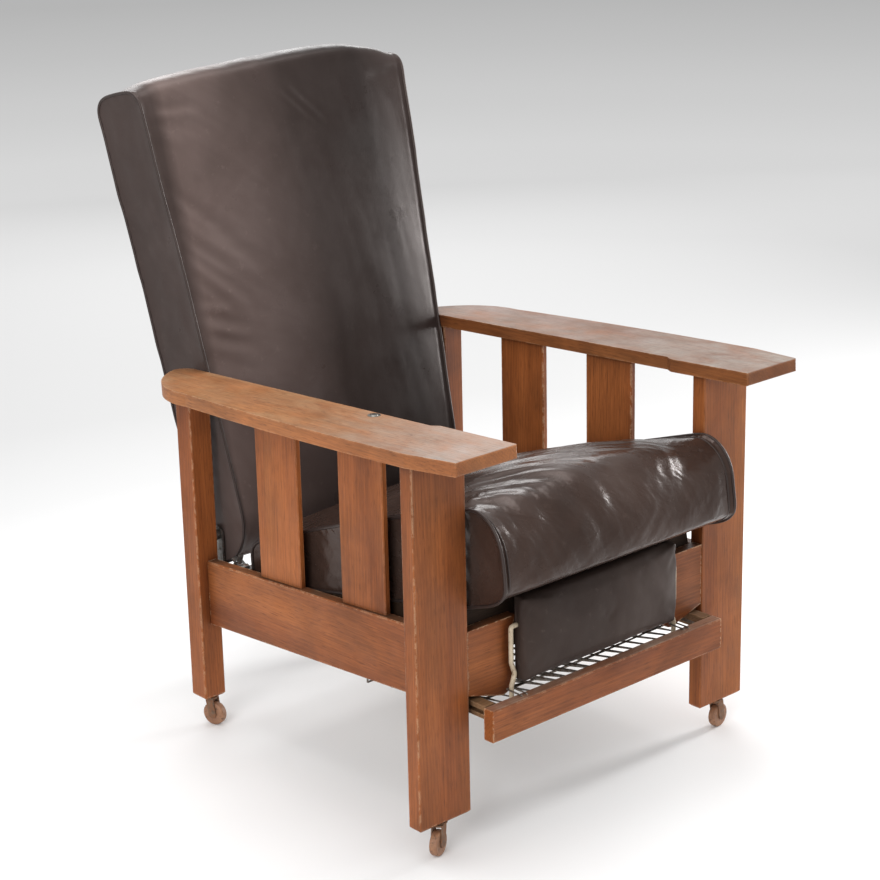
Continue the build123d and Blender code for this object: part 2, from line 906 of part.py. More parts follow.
# Clutch bracket on the left rail: a plate, a curved guide for the rod and the lever's pin
lever_y, lever_z = around_pivot(lever_angle, quadrant_radius + lever_offset)
guide_y, guide_z = around_pivot(guide_angle, quadrant_radius)
plate_face = Plane.YZ.offset(-rail_inner)
bite_half = bite_width / 2
lever_inner = rod_x + bite_half
link_z = lever_z - lever_arm * cos(radians(lever_swing))
with BuildPart() as clutch_bracket:
    with BuildSketch(plate_face):
        with Locations((lever_y, lever_z), (guide_y, guide_z)):
            Circle(guide_radius)
        make_hull()
    extrude(amount=bracket_plate)
    with BuildSketch(plate_face):
        with Locations((guide_y, guide_z)):
            Circle(guide_radius - running_gap)
    extrude(amount=rail_inner + rod_x)
    with BuildSketch(ring_plane(guide_angle - guide_half)):
        Circle(guide_radius)
    revolve(axis=pivot_axis, revolution_arc=2 * guide_half)
    with BuildSketch(ring_plane(guide_angle - 4 * guide_half)):
        Circle(quadrant_rod + guide_bore_gap)
    revolve(axis=pivot_axis, revolution_arc=8 * guide_half, mode=Mode.SUBTRACT)
    with BuildSketch(plate_face):
        with Locations((lever_y, lever_z)):
            Circle(lever_pin_radius)
    extrude(amount=rail_inner + lever_inner)
save(clutch_bracket.part, "clutch_bracket")

# Clutch lever: a hub on that pin, a bite plate round the rod and an arm to the link
arm_x = -(plate_outer + quadrant_offset + bite_half + lever_pin_radius)
eye_x = arm_x - link_eye_thick - link_pin_gap
bite_plane = Plane(
    origin=(rod_x, lever_y, lever_z),
    x_dir=(1, 0, 0),
    z_dir=pivot_tangent(lever_angle),
)
lever_end = (
    lever_y - lever_arm * sin(radians(lever_swing)),
    link_z,
)
with BuildPart() as clutch_lever:
    with BuildSketch(bite_plane.offset(-bite_thick / 2)):
        with Locations((0, (lever_offset + bite_reach) / 2)):
            Rectangle(bite_width, lever_offset + bite_reach)
        with Locations((0, lever_offset)):
            Circle(quadrant_rod + bite_hole_gap, mode=Mode.SUBTRACT)
    extrude(amount=bite_thick)
    with BuildSketch(Plane.YZ.offset(arm_x)):
        with Locations((lever_y, lever_z)):
            Circle(lever_hub_radius)
    extrude(amount=lever_inner - arm_x)
    with BuildSketch(Plane.YZ.offset(arm_x)):
        with Locations((lever_y, lever_z), lever_end):
            Circle(crank_arm_half)
        make_hull()
    extrude(amount=crank_thick)
    with BuildSketch(Plane.YZ.offset(arm_x)):
        with Locations((lever_y, lever_z)):
            Circle(lever_pin_radius + running_gap)
    extrude(amount=lever_inner - arm_x, mode=Mode.SUBTRACT)
    with BuildSketch(Plane.YZ.offset(arm_x)):
        with Locations(lever_end):
            Circle(link_pin)
    extrude(amount=-(link_eye_thick + 2 * link_pin_gap))
save(clutch_lever.part, "clutch_lever")

# Bell crank that turns the push of the button into a pull along the rail
crank_y = deep(button_depth + crank_reach)
crank_z = link_z + crank_reach * cos(radians(crank_swing))
swing = radians(crank_swing)
crank_tip = (crank_y - (crank_reach + crank_arm_half) * cos(swing),
             crank_z + (crank_reach + crank_arm_half) * sin(swing))
crank_end = (crank_y - crank_reach * sin(swing), crank_z - crank_reach * cos(swing))
crank_x = -(rail_inner - seat_gap)
with BuildPart() as bell_crank:
    with BuildSketch(Plane.YZ.offset(crank_x)):
        with Locations((crank_y, crank_z), crank_tip):
            Circle(crank_arm_half)
        make_hull()
    extrude(amount=crank_thick)
    with BuildSketch(Plane.YZ.offset(crank_x)):
        with Locations((crank_y, crank_z), crank_end):
            Circle(crank_arm_half)
        make_hull()
    extrude(amount=crank_thick)
    with BuildSketch(Plane.YZ.offset(crank_x)):
        with Locations((crank_y, crank_z)):
            Circle(crank_hub)
    extrude(amount=crank_thick)
    with BuildSketch(Plane.YZ.offset(crank_x)):
        with Locations((crank_y, crank_z)):
            Circle(crank_pin + running_gap)
    extrude(amount=crank_thick, mode=Mode.SUBTRACT)
    with BuildSketch(Plane.YZ.offset(crank_x)):
        with Locations(crank_end):
            Circle(link_pin)
    extrude(amount=arm_x - crank_x - link_pin_gap)
save(bell_crank.part, "bell_crank")

with BuildPart() as crank_pivot:
    with BuildSketch(plate_face):
        with Locations((crank_y, crank_z)):
            Circle(crank_pin)
    extrude(amount=crank_thick + 2 * seat_gap + crank_pin_head / 2)
    with BuildSketch(Plane.YZ.offset(crank_x + crank_thick + seat_gap)):
        with Locations((crank_y, crank_z)):
            Circle(crank_pin_head)
    extrude(amount=crank_pin_head / 2)
save(crank_pivot.part, "crank_pivot")

with BuildPart() as link_rod:
    with BuildSketch(Plane.YZ.offset(eye_x)):
        with Locations(crank_end, lever_end):
            Circle(link_eye)
    extrude(amount=link_eye_thick)
    with BuildSketch(Plane.XZ.offset(-crank_end[0])):
        with Locations((eye_x + link_eye_thick / 2, link_z)):
            Circle(link_radius)
    extrude(amount=crank_end[0] - lever_end[0])
    with BuildSketch(Plane.YZ.offset(eye_x - overrun)):
        with Locations(crank_end, lever_end):
            Circle(link_pin + link_pin_gap)
    extrude(amount=link_eye_thick + 2 * overrun, mode=Mode.SUBTRACT)
save(link_rod.part, "link_rod")

# Push button with its stem, the ring round it, and the flat rod under it
pad_low = arm_under(button_depth) + seat_gap + button_travel + button_gap
pad_high = pad_low + rod_pad
button_top = arm_under(button_depth) + seat_gap + arm_face + button_proud
with BuildPart() as push_button:
    with BuildSketch(button_plane.offset(button_top - button_plane.origin.Z)):
        Circle(button_radius)
    extrude(amount=-button_head)
    with BuildSketch(Plane.XY.offset(pad_high)):
        with Locations((-button_x, deep(button_depth))):
            Circle(button_stem)
    extrude(amount=button_top - pad_high - button_head / 2)
    fillet(push_button.edges().sort_by(Axis.Z)[-1], button_proud / 2)
save(push_button.part, "push_button")

with BuildPart() as button_plate:
    with BuildSketch(button_plane.offset(arm_face - plate_sink + seat_gap / 2)):
        Circle(plate_radius)
        Circle(button_radius + button_gap, mode=Mode.SUBTRACT)
    extrude(amount=plate_height)
save(button_plate.part, "button_plate")

rod_outer = rail_inner - seat_gap
touch_z = crank_z + crank_reach * tan(swing) + crank_arm_half / cos(swing)
rod_low = touch_z + (rod_half + seat_gap) / cos(swing) - rod_half
with BuildPart() as push_rod:
    with BuildSketch(Plane.YZ.offset(-rod_outer)):
        with Locations((deep(button_depth), (rod_low + pad_high) / 2)):
            Rectangle(2 * rod_half, pad_high - rod_low)
    extrude(amount=rod_thick)
    fillet(push_rod.faces().sort_by(Axis.Z)[0].edges().filter_by(Axis.X), rod_half * tip_share)
    with BuildSketch(Plane.XY.offset(pad_low)):
        pad_x_low = pocket_x_low - button_gap
        with Locations((-(pad_x_low + rod_outer - rod_thick) / 2, deep(button_depth))):
            Rectangle(pad_x_low - rod_outer + rod_thick, 2 * rod_half)
    extrude(amount=rod_pad)
save(push_rod.part, "push_rod")

# Leg-rest carriage: a footboard, two grooved runners, a tail bar and the wire basket
footboard_top = footboard_bottom + footboard_height
board_rear = -(footboard_front - footboard_thick)
rod_foot_z = footboard_top - rod_foot_drop
staple_half = rod_radius + seat_gap + staple_wire
staple_y = deep(board_rear - staple_set)
staple_spots = [
    (side * rod_leg + step * staple_half, staple_y) for side in (-1, 1) for step in (-1, 1)
]
with BuildPart() as footboard:
    with BuildSketch(Plane.XY.offset(footboard_bottom)):
        with Locations((0, deep((board_rear - footboard_front) / 2))):
            Rectangle(2 * footboard_half, footboard_thick)
    extrude(amount=footboard_height)
    fillet(footboard.edges().filter_by(Axis.X), footboard_edge)
    with BuildSketch(Plane.XZ.offset(-deep(board_rear + overrun))):
        with Locations((-rod_leg, rod_foot_z), (rod_leg, rod_foot_z)):
            Circle(rod_radius + socket_gap)
    extrude(amount=overrun + rod_foot_grip + seat_gap, mode=Mode.SUBTRACT)
    with BuildSketch(Plane.XY.offset(footboard_top + overrun)):
        with Locations(*staple_spots):
            Circle(staple_wire + socket_gap)
    extrude(amount=-(overrun + staple_grip + seat_gap), mode=Mode.SUBTRACT)
save(footboard.part, "footboard")

runner_start = board_rear + seat_gap
runner_mid = runner_start + runner_length / 2
groove_low = runner_bottom + groove_rise
with BuildPart() as runner:
    with BuildSketch(Plane.XY.offset(runner_bottom)):
        with Locations((-(runner_outer - runner_width / 2), deep(runner_mid))):
            Rectangle(runner_width, runner_length)
    extrude(amount=runner_height)
    with BuildSketch(Plane.XY.offset(groove_low)):
        with Locations((-(runner_outer - groove_depth / 2 + overrun / 2), deep(runner_mid))):
            Rectangle(groove_depth + overrun, runner_length + 2 * overrun)
    extrude(amount=groove_height, mode=Mode.SUBTRACT)
save_pair(runner.part, "carriage_runner")

# Guides on the rails: each has a tongue that runs in the groove of a runner
guide_mid = guide_start + guide_length / 2
tongue_reach = rail_inner - runner_outer + groove_depth - guide_gap
tongue_low = groove_low + guide_gap / 2
with BuildPart() as runner_guide:
    with BuildSketch(Plane.XY.offset(runner_bottom + guide_rise)):
        with Locations((-(rail_inner - guide_body / 2), deep(guide_mid))):
            Rectangle(guide_body, guide_length)
    extrude(amount=guide_height)
    with BuildSketch(Plane.XY.offset(tongue_low)):
        with Locations((-(rail_inner - tongue_reach / 2), deep(guide_mid))):
            Rectangle(tongue_reach, guide_length)
    extrude(amount=groove_height - guide_gap)
save_both(runner_guide.part, "runner_guides")

tail_front = basket_rear + basket_wire + seat_gap
tail_half = runner_outer - runner_width - seat_gap
with BuildPart() as tail_bar:
    with BuildSketch(Plane.XY.offset(runner_bottom)):
        with Locations((0, deep(tail_front + tail_bar_thick / 2))):
            Rectangle(2 * tail_half, tail_bar_thick)
    extrude(amount=runner_height)
save(tail_bar.part, "carriage_tail_bar")

basket_start = board_rear + seat_gap
basket_slope = (basket_front_z - basket_rear_z) / (basket_rear - basket_start)


def basket_floor(depth):
    return basket_front_z - basket_slope * (depth - basket_start)


with BuildPart() as long_wire:
    with BuildLine() as wire_path:
        FilletPolyline(
            (0, deep(basket_start), basket_front_z),
            (0, deep(basket_rear), basket_rear_z),
            (0, deep(basket_rear), basket_rim_z),
            radius=basket_bend,
        )
    with BuildSketch(Plane(origin=wire_path.line @ 0, z_dir=wire_path.line % 0)):
        Circle(basket_wire)
    sweep()

with BuildPart() as rim_wire:
    with BuildLine() as rim_path:
        FilletPolyline(
            (-basket_half, deep(basket_start), basket_rim_z),
            (-basket_half, deep(basket_rear - basket_rim_wire), basket_rim_z),
            (basket_half, deep(basket_rear - basket_rim_wire), basket_rim_z),
            (basket_half, deep(basket_start), basket_rim_z),
            radius=rim_bend,
        )
    with BuildSketch(Plane(origin=rim_path.line @ 0, z_dir=rim_path.line % 0)):
        Circle(basket_rim_wire)
    sweep()

cross_reach = basket_half - basket_wire / 2
with BuildPart() as wire_basket:
    add(rim_wire.part)
    with GridLocations(basket_pitch, 0, basket_wires, 1):
        add(long_wire.part)
    for step in range(basket_cross_wires):
        depth = basket_start + basket_rear * (step + 1) / (basket_cross_wires + 1)
        with BuildSketch(Plane.YZ.offset(-cross_reach)):
            with Locations((deep(depth), basket_floor(depth) - 1.5 * basket_wire)):
                Circle(basket_wire)
        extrude(amount=2 * cross_reach)
    for side in (-1, 1):
        for step in range(basket_cross_wires):
            depth = basket_start + basket_rear * (step + 1) / (basket_cross_wires + 1)
            low = basket_floor(depth) - 2 * basket_wire
            with BuildSketch(Plane.XY.offset(low)):
                with Locations((side * basket_half, deep(depth))):
                    Circle(basket_wire)
            extrude(amount=basket_rim_z - low)
save(wire_basket.part, "wire_basket")

def pad_outline(share):
    # Side outline of the leg-rest pad at this share of its half width
    swell = pad_side_bow + pad_swell * (1.0 - abs(share) ** crown_power)
    rear = deep(pad_rear)
    front = deep(pad_swell + pad_side_bow - pad_front)
    arc_in = pad_round * (1 - sin(radians(45)))
    with BuildSketch(Plane.YZ.offset(pad_half * share)) as section:
        with BuildLine():
            Line((rear, pad_bottom), (front + pad_round, pad_bottom))
            ThreePointArc(
                (front + pad_round, pad_bottom),
                (front + arc_in, pad_bottom + arc_in),
                (front, pad_bottom + pad_round),
            )
            ThreePointArc(
                (front, pad_bottom + pad_round),
                (front - swell, (pad_bottom + pad_top) / 2),
                (front, pad_top - pad_round),
            )
            ThreePointArc(
                (front, pad_top - pad_round),
                (front + arc_in, pad_top - arc_in),
                (front + pad_round, pad_top),
            )
            Line((front + pad_round, pad_top), (rear, pad_top))
            Line((rear, pad_top), (rear, pad_bottom))
        make_face()
    return section.sketch


# Leg-rest pad: leather round three sides of a board, hung on the ends of two bent rods
pad_rear = pad_leather + pad_board - pad_front
rod_depth = -rod_ahead
rod_end_z = rod_foot_z + rod_end_rise
pad_mid_z = (pad_bottom + pad_top) / 2
pad_height = pad_top - pad_bottom
pad_sections = [pad_outline(share) for share in cushion_shares]
with BuildPart() as leg_pad:
    add(pad_sections)
    loft()
    with BuildSketch(Plane.XZ.offset(-deep(pad_rear + overrun))):
        with Locations((0, pad_mid_z)):
            Rectangle(2 * (pad_half - pad_wall), pad_height - 2 * pad_wall)
    extrude(amount=overrun + pad_board + seat_gap, mode=Mode.SUBTRACT)
    with BuildSketch(Plane.YZ.offset(-(pad_half + overrun))):
        with Locations((deep(rod_depth), rod_end_z)):
            Circle(rod_radius + socket_gap)
    extrude(amount=2 * (pad_half + overrun), mode=Mode.SUBTRACT)
save(leg_pad.part, "leg_pad")

board_edge = pad_wall + seat_gap
board_socket = rod_end_grip - board_edge + seat_gap
with BuildPart() as leg_board:
    with BuildSketch(Plane.XZ.offset(-deep(pad_rear))):
        with Locations((0, pad_mid_z)):
            Rectangle(2 * (pad_half - board_edge), pad_height - 2 * board_edge)
    extrude(amount=pad_board)
    chamfer(leg_board.faces().sort_by(Axis.Y)[-1].edges(), rail_edge)
    for side in (-1, 1):
        with BuildSketch(Plane.YZ.offset(side * (pad_half - board_edge))):
            with Locations((deep(rod_depth), rod_end_z)):
                Circle(rod_radius + running_gap)
        extrude(amount=-side * board_socket, mode=Mode.SUBTRACT)
save(leg_board.part, "leg_board")

# Support rods: let into the footboard, kinked, and turned into the sides of the pad
with BuildPart() as support_rod:
    with BuildLine() as rod_path:
        FilletPolyline(
            (-rod_leg, deep(board_rear - rod_foot_grip), rod_foot_z),
            (-rod_leg, deep(rod_depth), rod_foot_z),
            (-rod_leg, deep(rod_depth), rod_foot_z + rod_kink_low),
            (-(rod_leg - rod_kink), deep(rod_depth), rod_foot_z + rod_kink_mid),
            (-rod_leg, deep(rod_depth), rod_foot_z + rod_kink_high),
            (-rod_leg, deep(rod_depth), rod_end_z),
            (-(pad_half - rod_end_grip), deep(rod_depth), rod_end_z),
            radius=rod_bend,
        )
    with BuildSketch(Plane(origin=rod_path.line @ 0, z_dir=rod_path.line % 0)):
        Circle(rod_radius)
    sweep()
save_both(support_rod.part, "support_rods")

# Wire staples on the footboard that hold the rods upright
staple_z = footboard_top + seat_gap + staple_wire
staple_rear = deep(rod_depth) + staple_half
with BuildPart() as rod_staple:
    with BuildLine() as staple_path:
        FilletPolyline(
            (-rod_leg - staple_half, staple_y, footboard_top - staple_grip),
            (-rod_leg - staple_half, staple_y, staple_z),
            (-rod_leg - staple_half, staple_rear, staple_z),
            (-rod_leg + staple_half, staple_rear, staple_z),
            (-rod_leg + staple_half, staple_y, staple_z),
            (-rod_leg + staple_half, staple_y, footboard_top - staple_grip),
            radius=staple_bend,
        )
    with BuildSketch(Plane(origin=staple_path.line @ 0, z_dir=staple_path.line % 0)):
        Circle(staple_wire)
    sweep()
save_both(rod_staple.part, "rod_staples")

# Castors: a socket in each post, a fork that swivels and a wheel on a riveted axle
axle_z = caster_wheel
crown_high = foot_z - socket_flange_thick - seat_gap
crown_low = crown_high - caster_crown_thick
with BuildPart() as socket:
    with BuildSketch(Plane.XY.offset(foot_z - socket_flange_thick - seat_gap / 2)):
        Circle(socket_flange)
    extrude(amount=socket_flange_thick)
    with BuildSketch(Plane.XY.offset(foot_z - socket_flange_thick)):
        Circle(socket_radius)
    extrude(amount=socket_depth - socket_wall + socket_flange_thick)
    with BuildSketch(Plane.XY.offset(foot_z - socket_flange_thick - overrun)):
        Circle(caster_stem + running_gap)
    extrude(amount=socket_depth + 2 * overrun, mode=Mode.SUBTRACT)

with BuildPart() as fork:
    arm_out = caster_wheel_width / 2 + caster_fork_gap + caster_fork_thick
    with BuildSketch(Plane.XY.offset(crown_low)):
        with Locations((0, 0), (caster_trail / 2, 0)):
            Circle(arm_out)
        make_hull()
    extrude(amount=caster_crown_thick)
    with BuildSketch(Plane.XY.offset(crown_low)):
        Circle(caster_stem)
    extrude(amount=caster_crown_thick + caster_stem_length)
    for side in (-1, 1):
        cheek = Plane.XZ.offset(side * (arm_out - caster_fork_thick / 2))
        with BuildSketch(cheek):
            with Locations((caster_trail, axle_z)):
                Circle(caster_fork_half)
            with Locations((caster_trail / 2, crown_low + caster_crown_thick / 2)):
                Rectangle(2 * caster_fork_half, caster_crown_thick)
            make_hull()
        extrude(amount=caster_fork_thick / 2, both=True)
    with BuildSketch(Plane.XZ):
        with Locations((caster_trail, axle_z)):
            Circle(caster_axle)
    extrude(amount=arm_out, both=True)

with BuildPart() as wheel:
    with BuildSketch(Plane.XZ):
        with Locations((caster_trail, axle_z)):
            Circle(caster_wheel)
    extrude(amount=caster_wheel_width / 2, both=True)
    fillet(wheel.edges().filter_by(GeomType.CIRCLE), caster_wheel_round)
    with BuildSketch(Plane.XZ):
        with Locations((caster_trail, axle_z)):
            Circle(caster_axle + running_gap)
    extrude(amount=caster_wheel_width, both=True, mode=Mode.SUBTRACT)

with BuildPart() as caster_sockets:
    for x, y in stem_places.values():
        with Locations((x, y)):
            add(socket.part)
save(caster_sockets.part, "caster_sockets")

for corner, (x, y) in stem_places.items():
    place = Location((x, y, 0), (0, 0, caster_rest_angles[corner]))
    save(fork.part.moved(place), f"caster_fork_{corner}")
    save(wheel.part.moved(place), f"caster_wheel_{corner}")
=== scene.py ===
import json
import math

import bmesh
import bpy
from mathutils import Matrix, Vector, kdtree, noise
from mathutils.bvhtree import BVHTree


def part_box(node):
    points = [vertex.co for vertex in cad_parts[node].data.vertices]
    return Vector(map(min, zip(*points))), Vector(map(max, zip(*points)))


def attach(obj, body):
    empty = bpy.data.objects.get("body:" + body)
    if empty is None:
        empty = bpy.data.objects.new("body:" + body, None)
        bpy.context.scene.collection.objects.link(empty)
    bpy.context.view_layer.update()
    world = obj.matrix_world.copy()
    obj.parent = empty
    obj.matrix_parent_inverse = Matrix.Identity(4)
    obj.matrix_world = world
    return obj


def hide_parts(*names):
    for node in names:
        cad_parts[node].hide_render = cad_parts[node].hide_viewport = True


noise.seed_set(1)  # every run draws the same folds

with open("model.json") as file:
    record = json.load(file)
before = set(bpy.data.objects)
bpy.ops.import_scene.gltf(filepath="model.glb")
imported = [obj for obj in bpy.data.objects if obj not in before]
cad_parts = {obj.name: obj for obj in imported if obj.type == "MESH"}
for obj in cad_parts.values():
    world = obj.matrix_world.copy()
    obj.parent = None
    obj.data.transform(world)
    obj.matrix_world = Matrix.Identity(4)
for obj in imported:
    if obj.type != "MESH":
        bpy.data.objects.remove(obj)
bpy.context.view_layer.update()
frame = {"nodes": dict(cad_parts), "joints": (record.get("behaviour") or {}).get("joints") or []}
nodes = frame["nodes"]
scene = bpy.context.scene

# Places shared by several pieces, in metres
front_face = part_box("front_post_left")[0].y
pivot = next(Vector(j["pos_m"]) for j in frame["joints"] if j["name"] == "back_recline")
lean = math.radians(14)  # of the back, at rest
back_out = Vector((0, math.cos(lean), -math.sin(lean)))
back_up = Vector((0, math.sin(lean), math.cos(lean)))


# ---- Small workshop helpers


def clipped(value):
    return max(0.0, min(1.0, value))


def only(piece):
    bpy.ops.object.select_all(action="DESELECT")
    piece.select_set(True)
    bpy.context.view_layer.objects.active = piece


def copied(node, name):
    # A merged copy of a CAD node's mesh, to be shaped further
    piece = bpy.data.objects.new(name, nodes[node].data.copy())
    scene.collection.objects.link(piece)
    piece.data.materials.clear()
    only(piece)
    bpy.ops.object.mode_set(mode="EDIT")
    bpy.ops.mesh.select_all(action="SELECT")
    bpy.ops.mesh.remove_doubles(threshold=0.00001)
    bpy.ops.object.mode_set(mode="OBJECT")
    return piece


def apply(piece, kind, **settings):
    only(piece)
    modifier = piece.modifiers.new(kind.title(), kind)
    for key, value in settings.items():
        setattr(modifier, key, value)
    bpy.ops.object.modifier_apply(modifier=modifier.name)


def finish(piece, body, material, smooth=60):
    piece.data.materials.clear()
    piece.data.materials.append(material)
    only(piece)
    bpy.ops.object.shade_smooth_by_angle(angle=math.radians(smooth))
    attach(piece, body)
    return piece


def tube(name, points, radius):
    # A closed round cord along these points, turned into a mesh with its place in its vertices
    curve = bpy.data.curves.new(name, "CURVE")
    curve.dimensions = "3D"
    curve.bevel_depth = radius
    curve.bevel_resolution = 2
    spline = curve.splines.new("NURBS")
    spline.points.add(len(points) - 1)
    for place, point in zip(spline.points, points):
        place.co = (*point, 1)
    spline.order_u = 3
    spline.use_cyclic_u = True
    spline.resolution_u = 3
    piece = bpy.data.objects.new(name, curve)
    scene.collection.objects.link(piece)
    only(piece)
    bpy.ops.object.convert(target="MESH")
    return piece


def joined(pieces, name):
    only(pieces[0])
    for piece in pieces[1:]:
        piece.select_set(True)
    bpy.ops.object.join()
    pieces[0].name = name
    return pieces[0]


# ---- Materials


def board(name):
    material = bpy.data.materials.new(name)
    material.use_nodes = True
    tree = material.node_tree
    return material, tree.nodes, tree.links, tree.nodes["Principled BSDF"]


def mapped(nodes, links, scale, place=(0, 0, 0), turn=(0, 0, 0)):
    where = nodes.new("ShaderNodeTexCoord")
    mapping = nodes.new("ShaderNodeMapping")
    mapping.inputs["Scale"].default_value = scale
    mapping.inputs["Location"].default_value = place
    mapping.inputs["Rotation"].default_value = turn
    links.new(where.outputs["Object"], mapping.inputs["Vector"])
    return mapping.outputs["Vector"]


def noise_of(nodes, links, vector, scale, detail=4, rough=0.55, distort=0.0):
    texture = nodes.new("ShaderNodeTexNoise")
    texture.inputs["Scale"].default_value = scale
    texture.inputs["Detail"].default_value = detail
    texture.inputs["Roughness"].default_value = rough
    texture.inputs["Distortion"].default_value = distort
    links.new(vector, texture.inputs["Vector"])
    return texture.outputs["Fac"]


def ramp(nodes, links, source, *stops):
    table = nodes.new("ShaderNodeValToRGB")
    elements = table.color_ramp.elements
    while len(elements) < len(stops):
        elements.new(0.5)
    for element, (place, colour) in zip(elements, stops):
        element.position = place
        element.color = (*colour, 1)
    links.new(source, table.inputs["Fac"])
    return table.outputs["Color"]


def grey(value):
    return (value, value, value)


def mixed(nodes, links, kind, share, under, over):
    mix = nodes.new("ShaderNodeMix")
    mix.data_type = "RGBA"
    mix.blend_type = kind
    factor, a, b = mix.inputs[0], mix.inputs[6], mix.inputs[7]
    for socket, value in ((factor, share), (a, under), (b, over)):
        if isinstance(value, (int, float, tuple)):
            socket.default_value = value
        else:
            links.new(value, socket)
    return mix.outputs[2]


def bumped(nodes, links, shader, height, strength, depth, under=None):
    bump = nodes.new("ShaderNodeBump")
    bump.inputs["Strength"].default_value = strength
    bump.inputs["Distance"].default_value = depth
    links.new(height, bump.inputs["Height"])
    if under is not None:
        links.new(under, bump.inputs["Normal"])
    links.new(bump.outputs["Normal"], shader.inputs["Normal"])
    return bump.outputs["Normal"]


def outer_edges(nodes, links, width):
    # 1 along outside edges and 0 on flats
    soft = nodes.new("ShaderNodeBevel")
    soft.samples = 4
    soft.inputs["Radius"].default_value = width
    plain = nodes.new("ShaderNodeNewGeometry")
    dot = nodes.new("ShaderNodeVectorMath")
    dot.operation = "DOT_PRODUCT"
    links.new(soft.outputs["Normal"], dot.inputs[0])
    links.new(plain.outputs["True Normal"], dot.inputs[1])
    return ramp(nodes, links, dot.outputs["Value"], (0.80, grey(1)), (0.985, grey(0)))


def facing_up(nodes, links):
    # 1 on level faces that look up, where dust and sleeves have dulled the varnish
    plain = nodes.new("ShaderNodeNewGeometry")
    parts = nodes.new("ShaderNodeSeparateXYZ")
    links.new(plain.outputs["True Normal"], parts.inputs[0])
    return ramp(nodes, links, parts.outputs["Z"], (0.75, grey(0)), (0.93, grey(1)))


def times(nodes, links, *values):
    # The product of these masks
    out = values[0]
    for value in values[1:]:
        if isinstance(value, (int, float)):
            value = (value, value, value, 1)
        out = mixed(nodes, links, "MULTIPLY", 1.0, out, value)
    return out


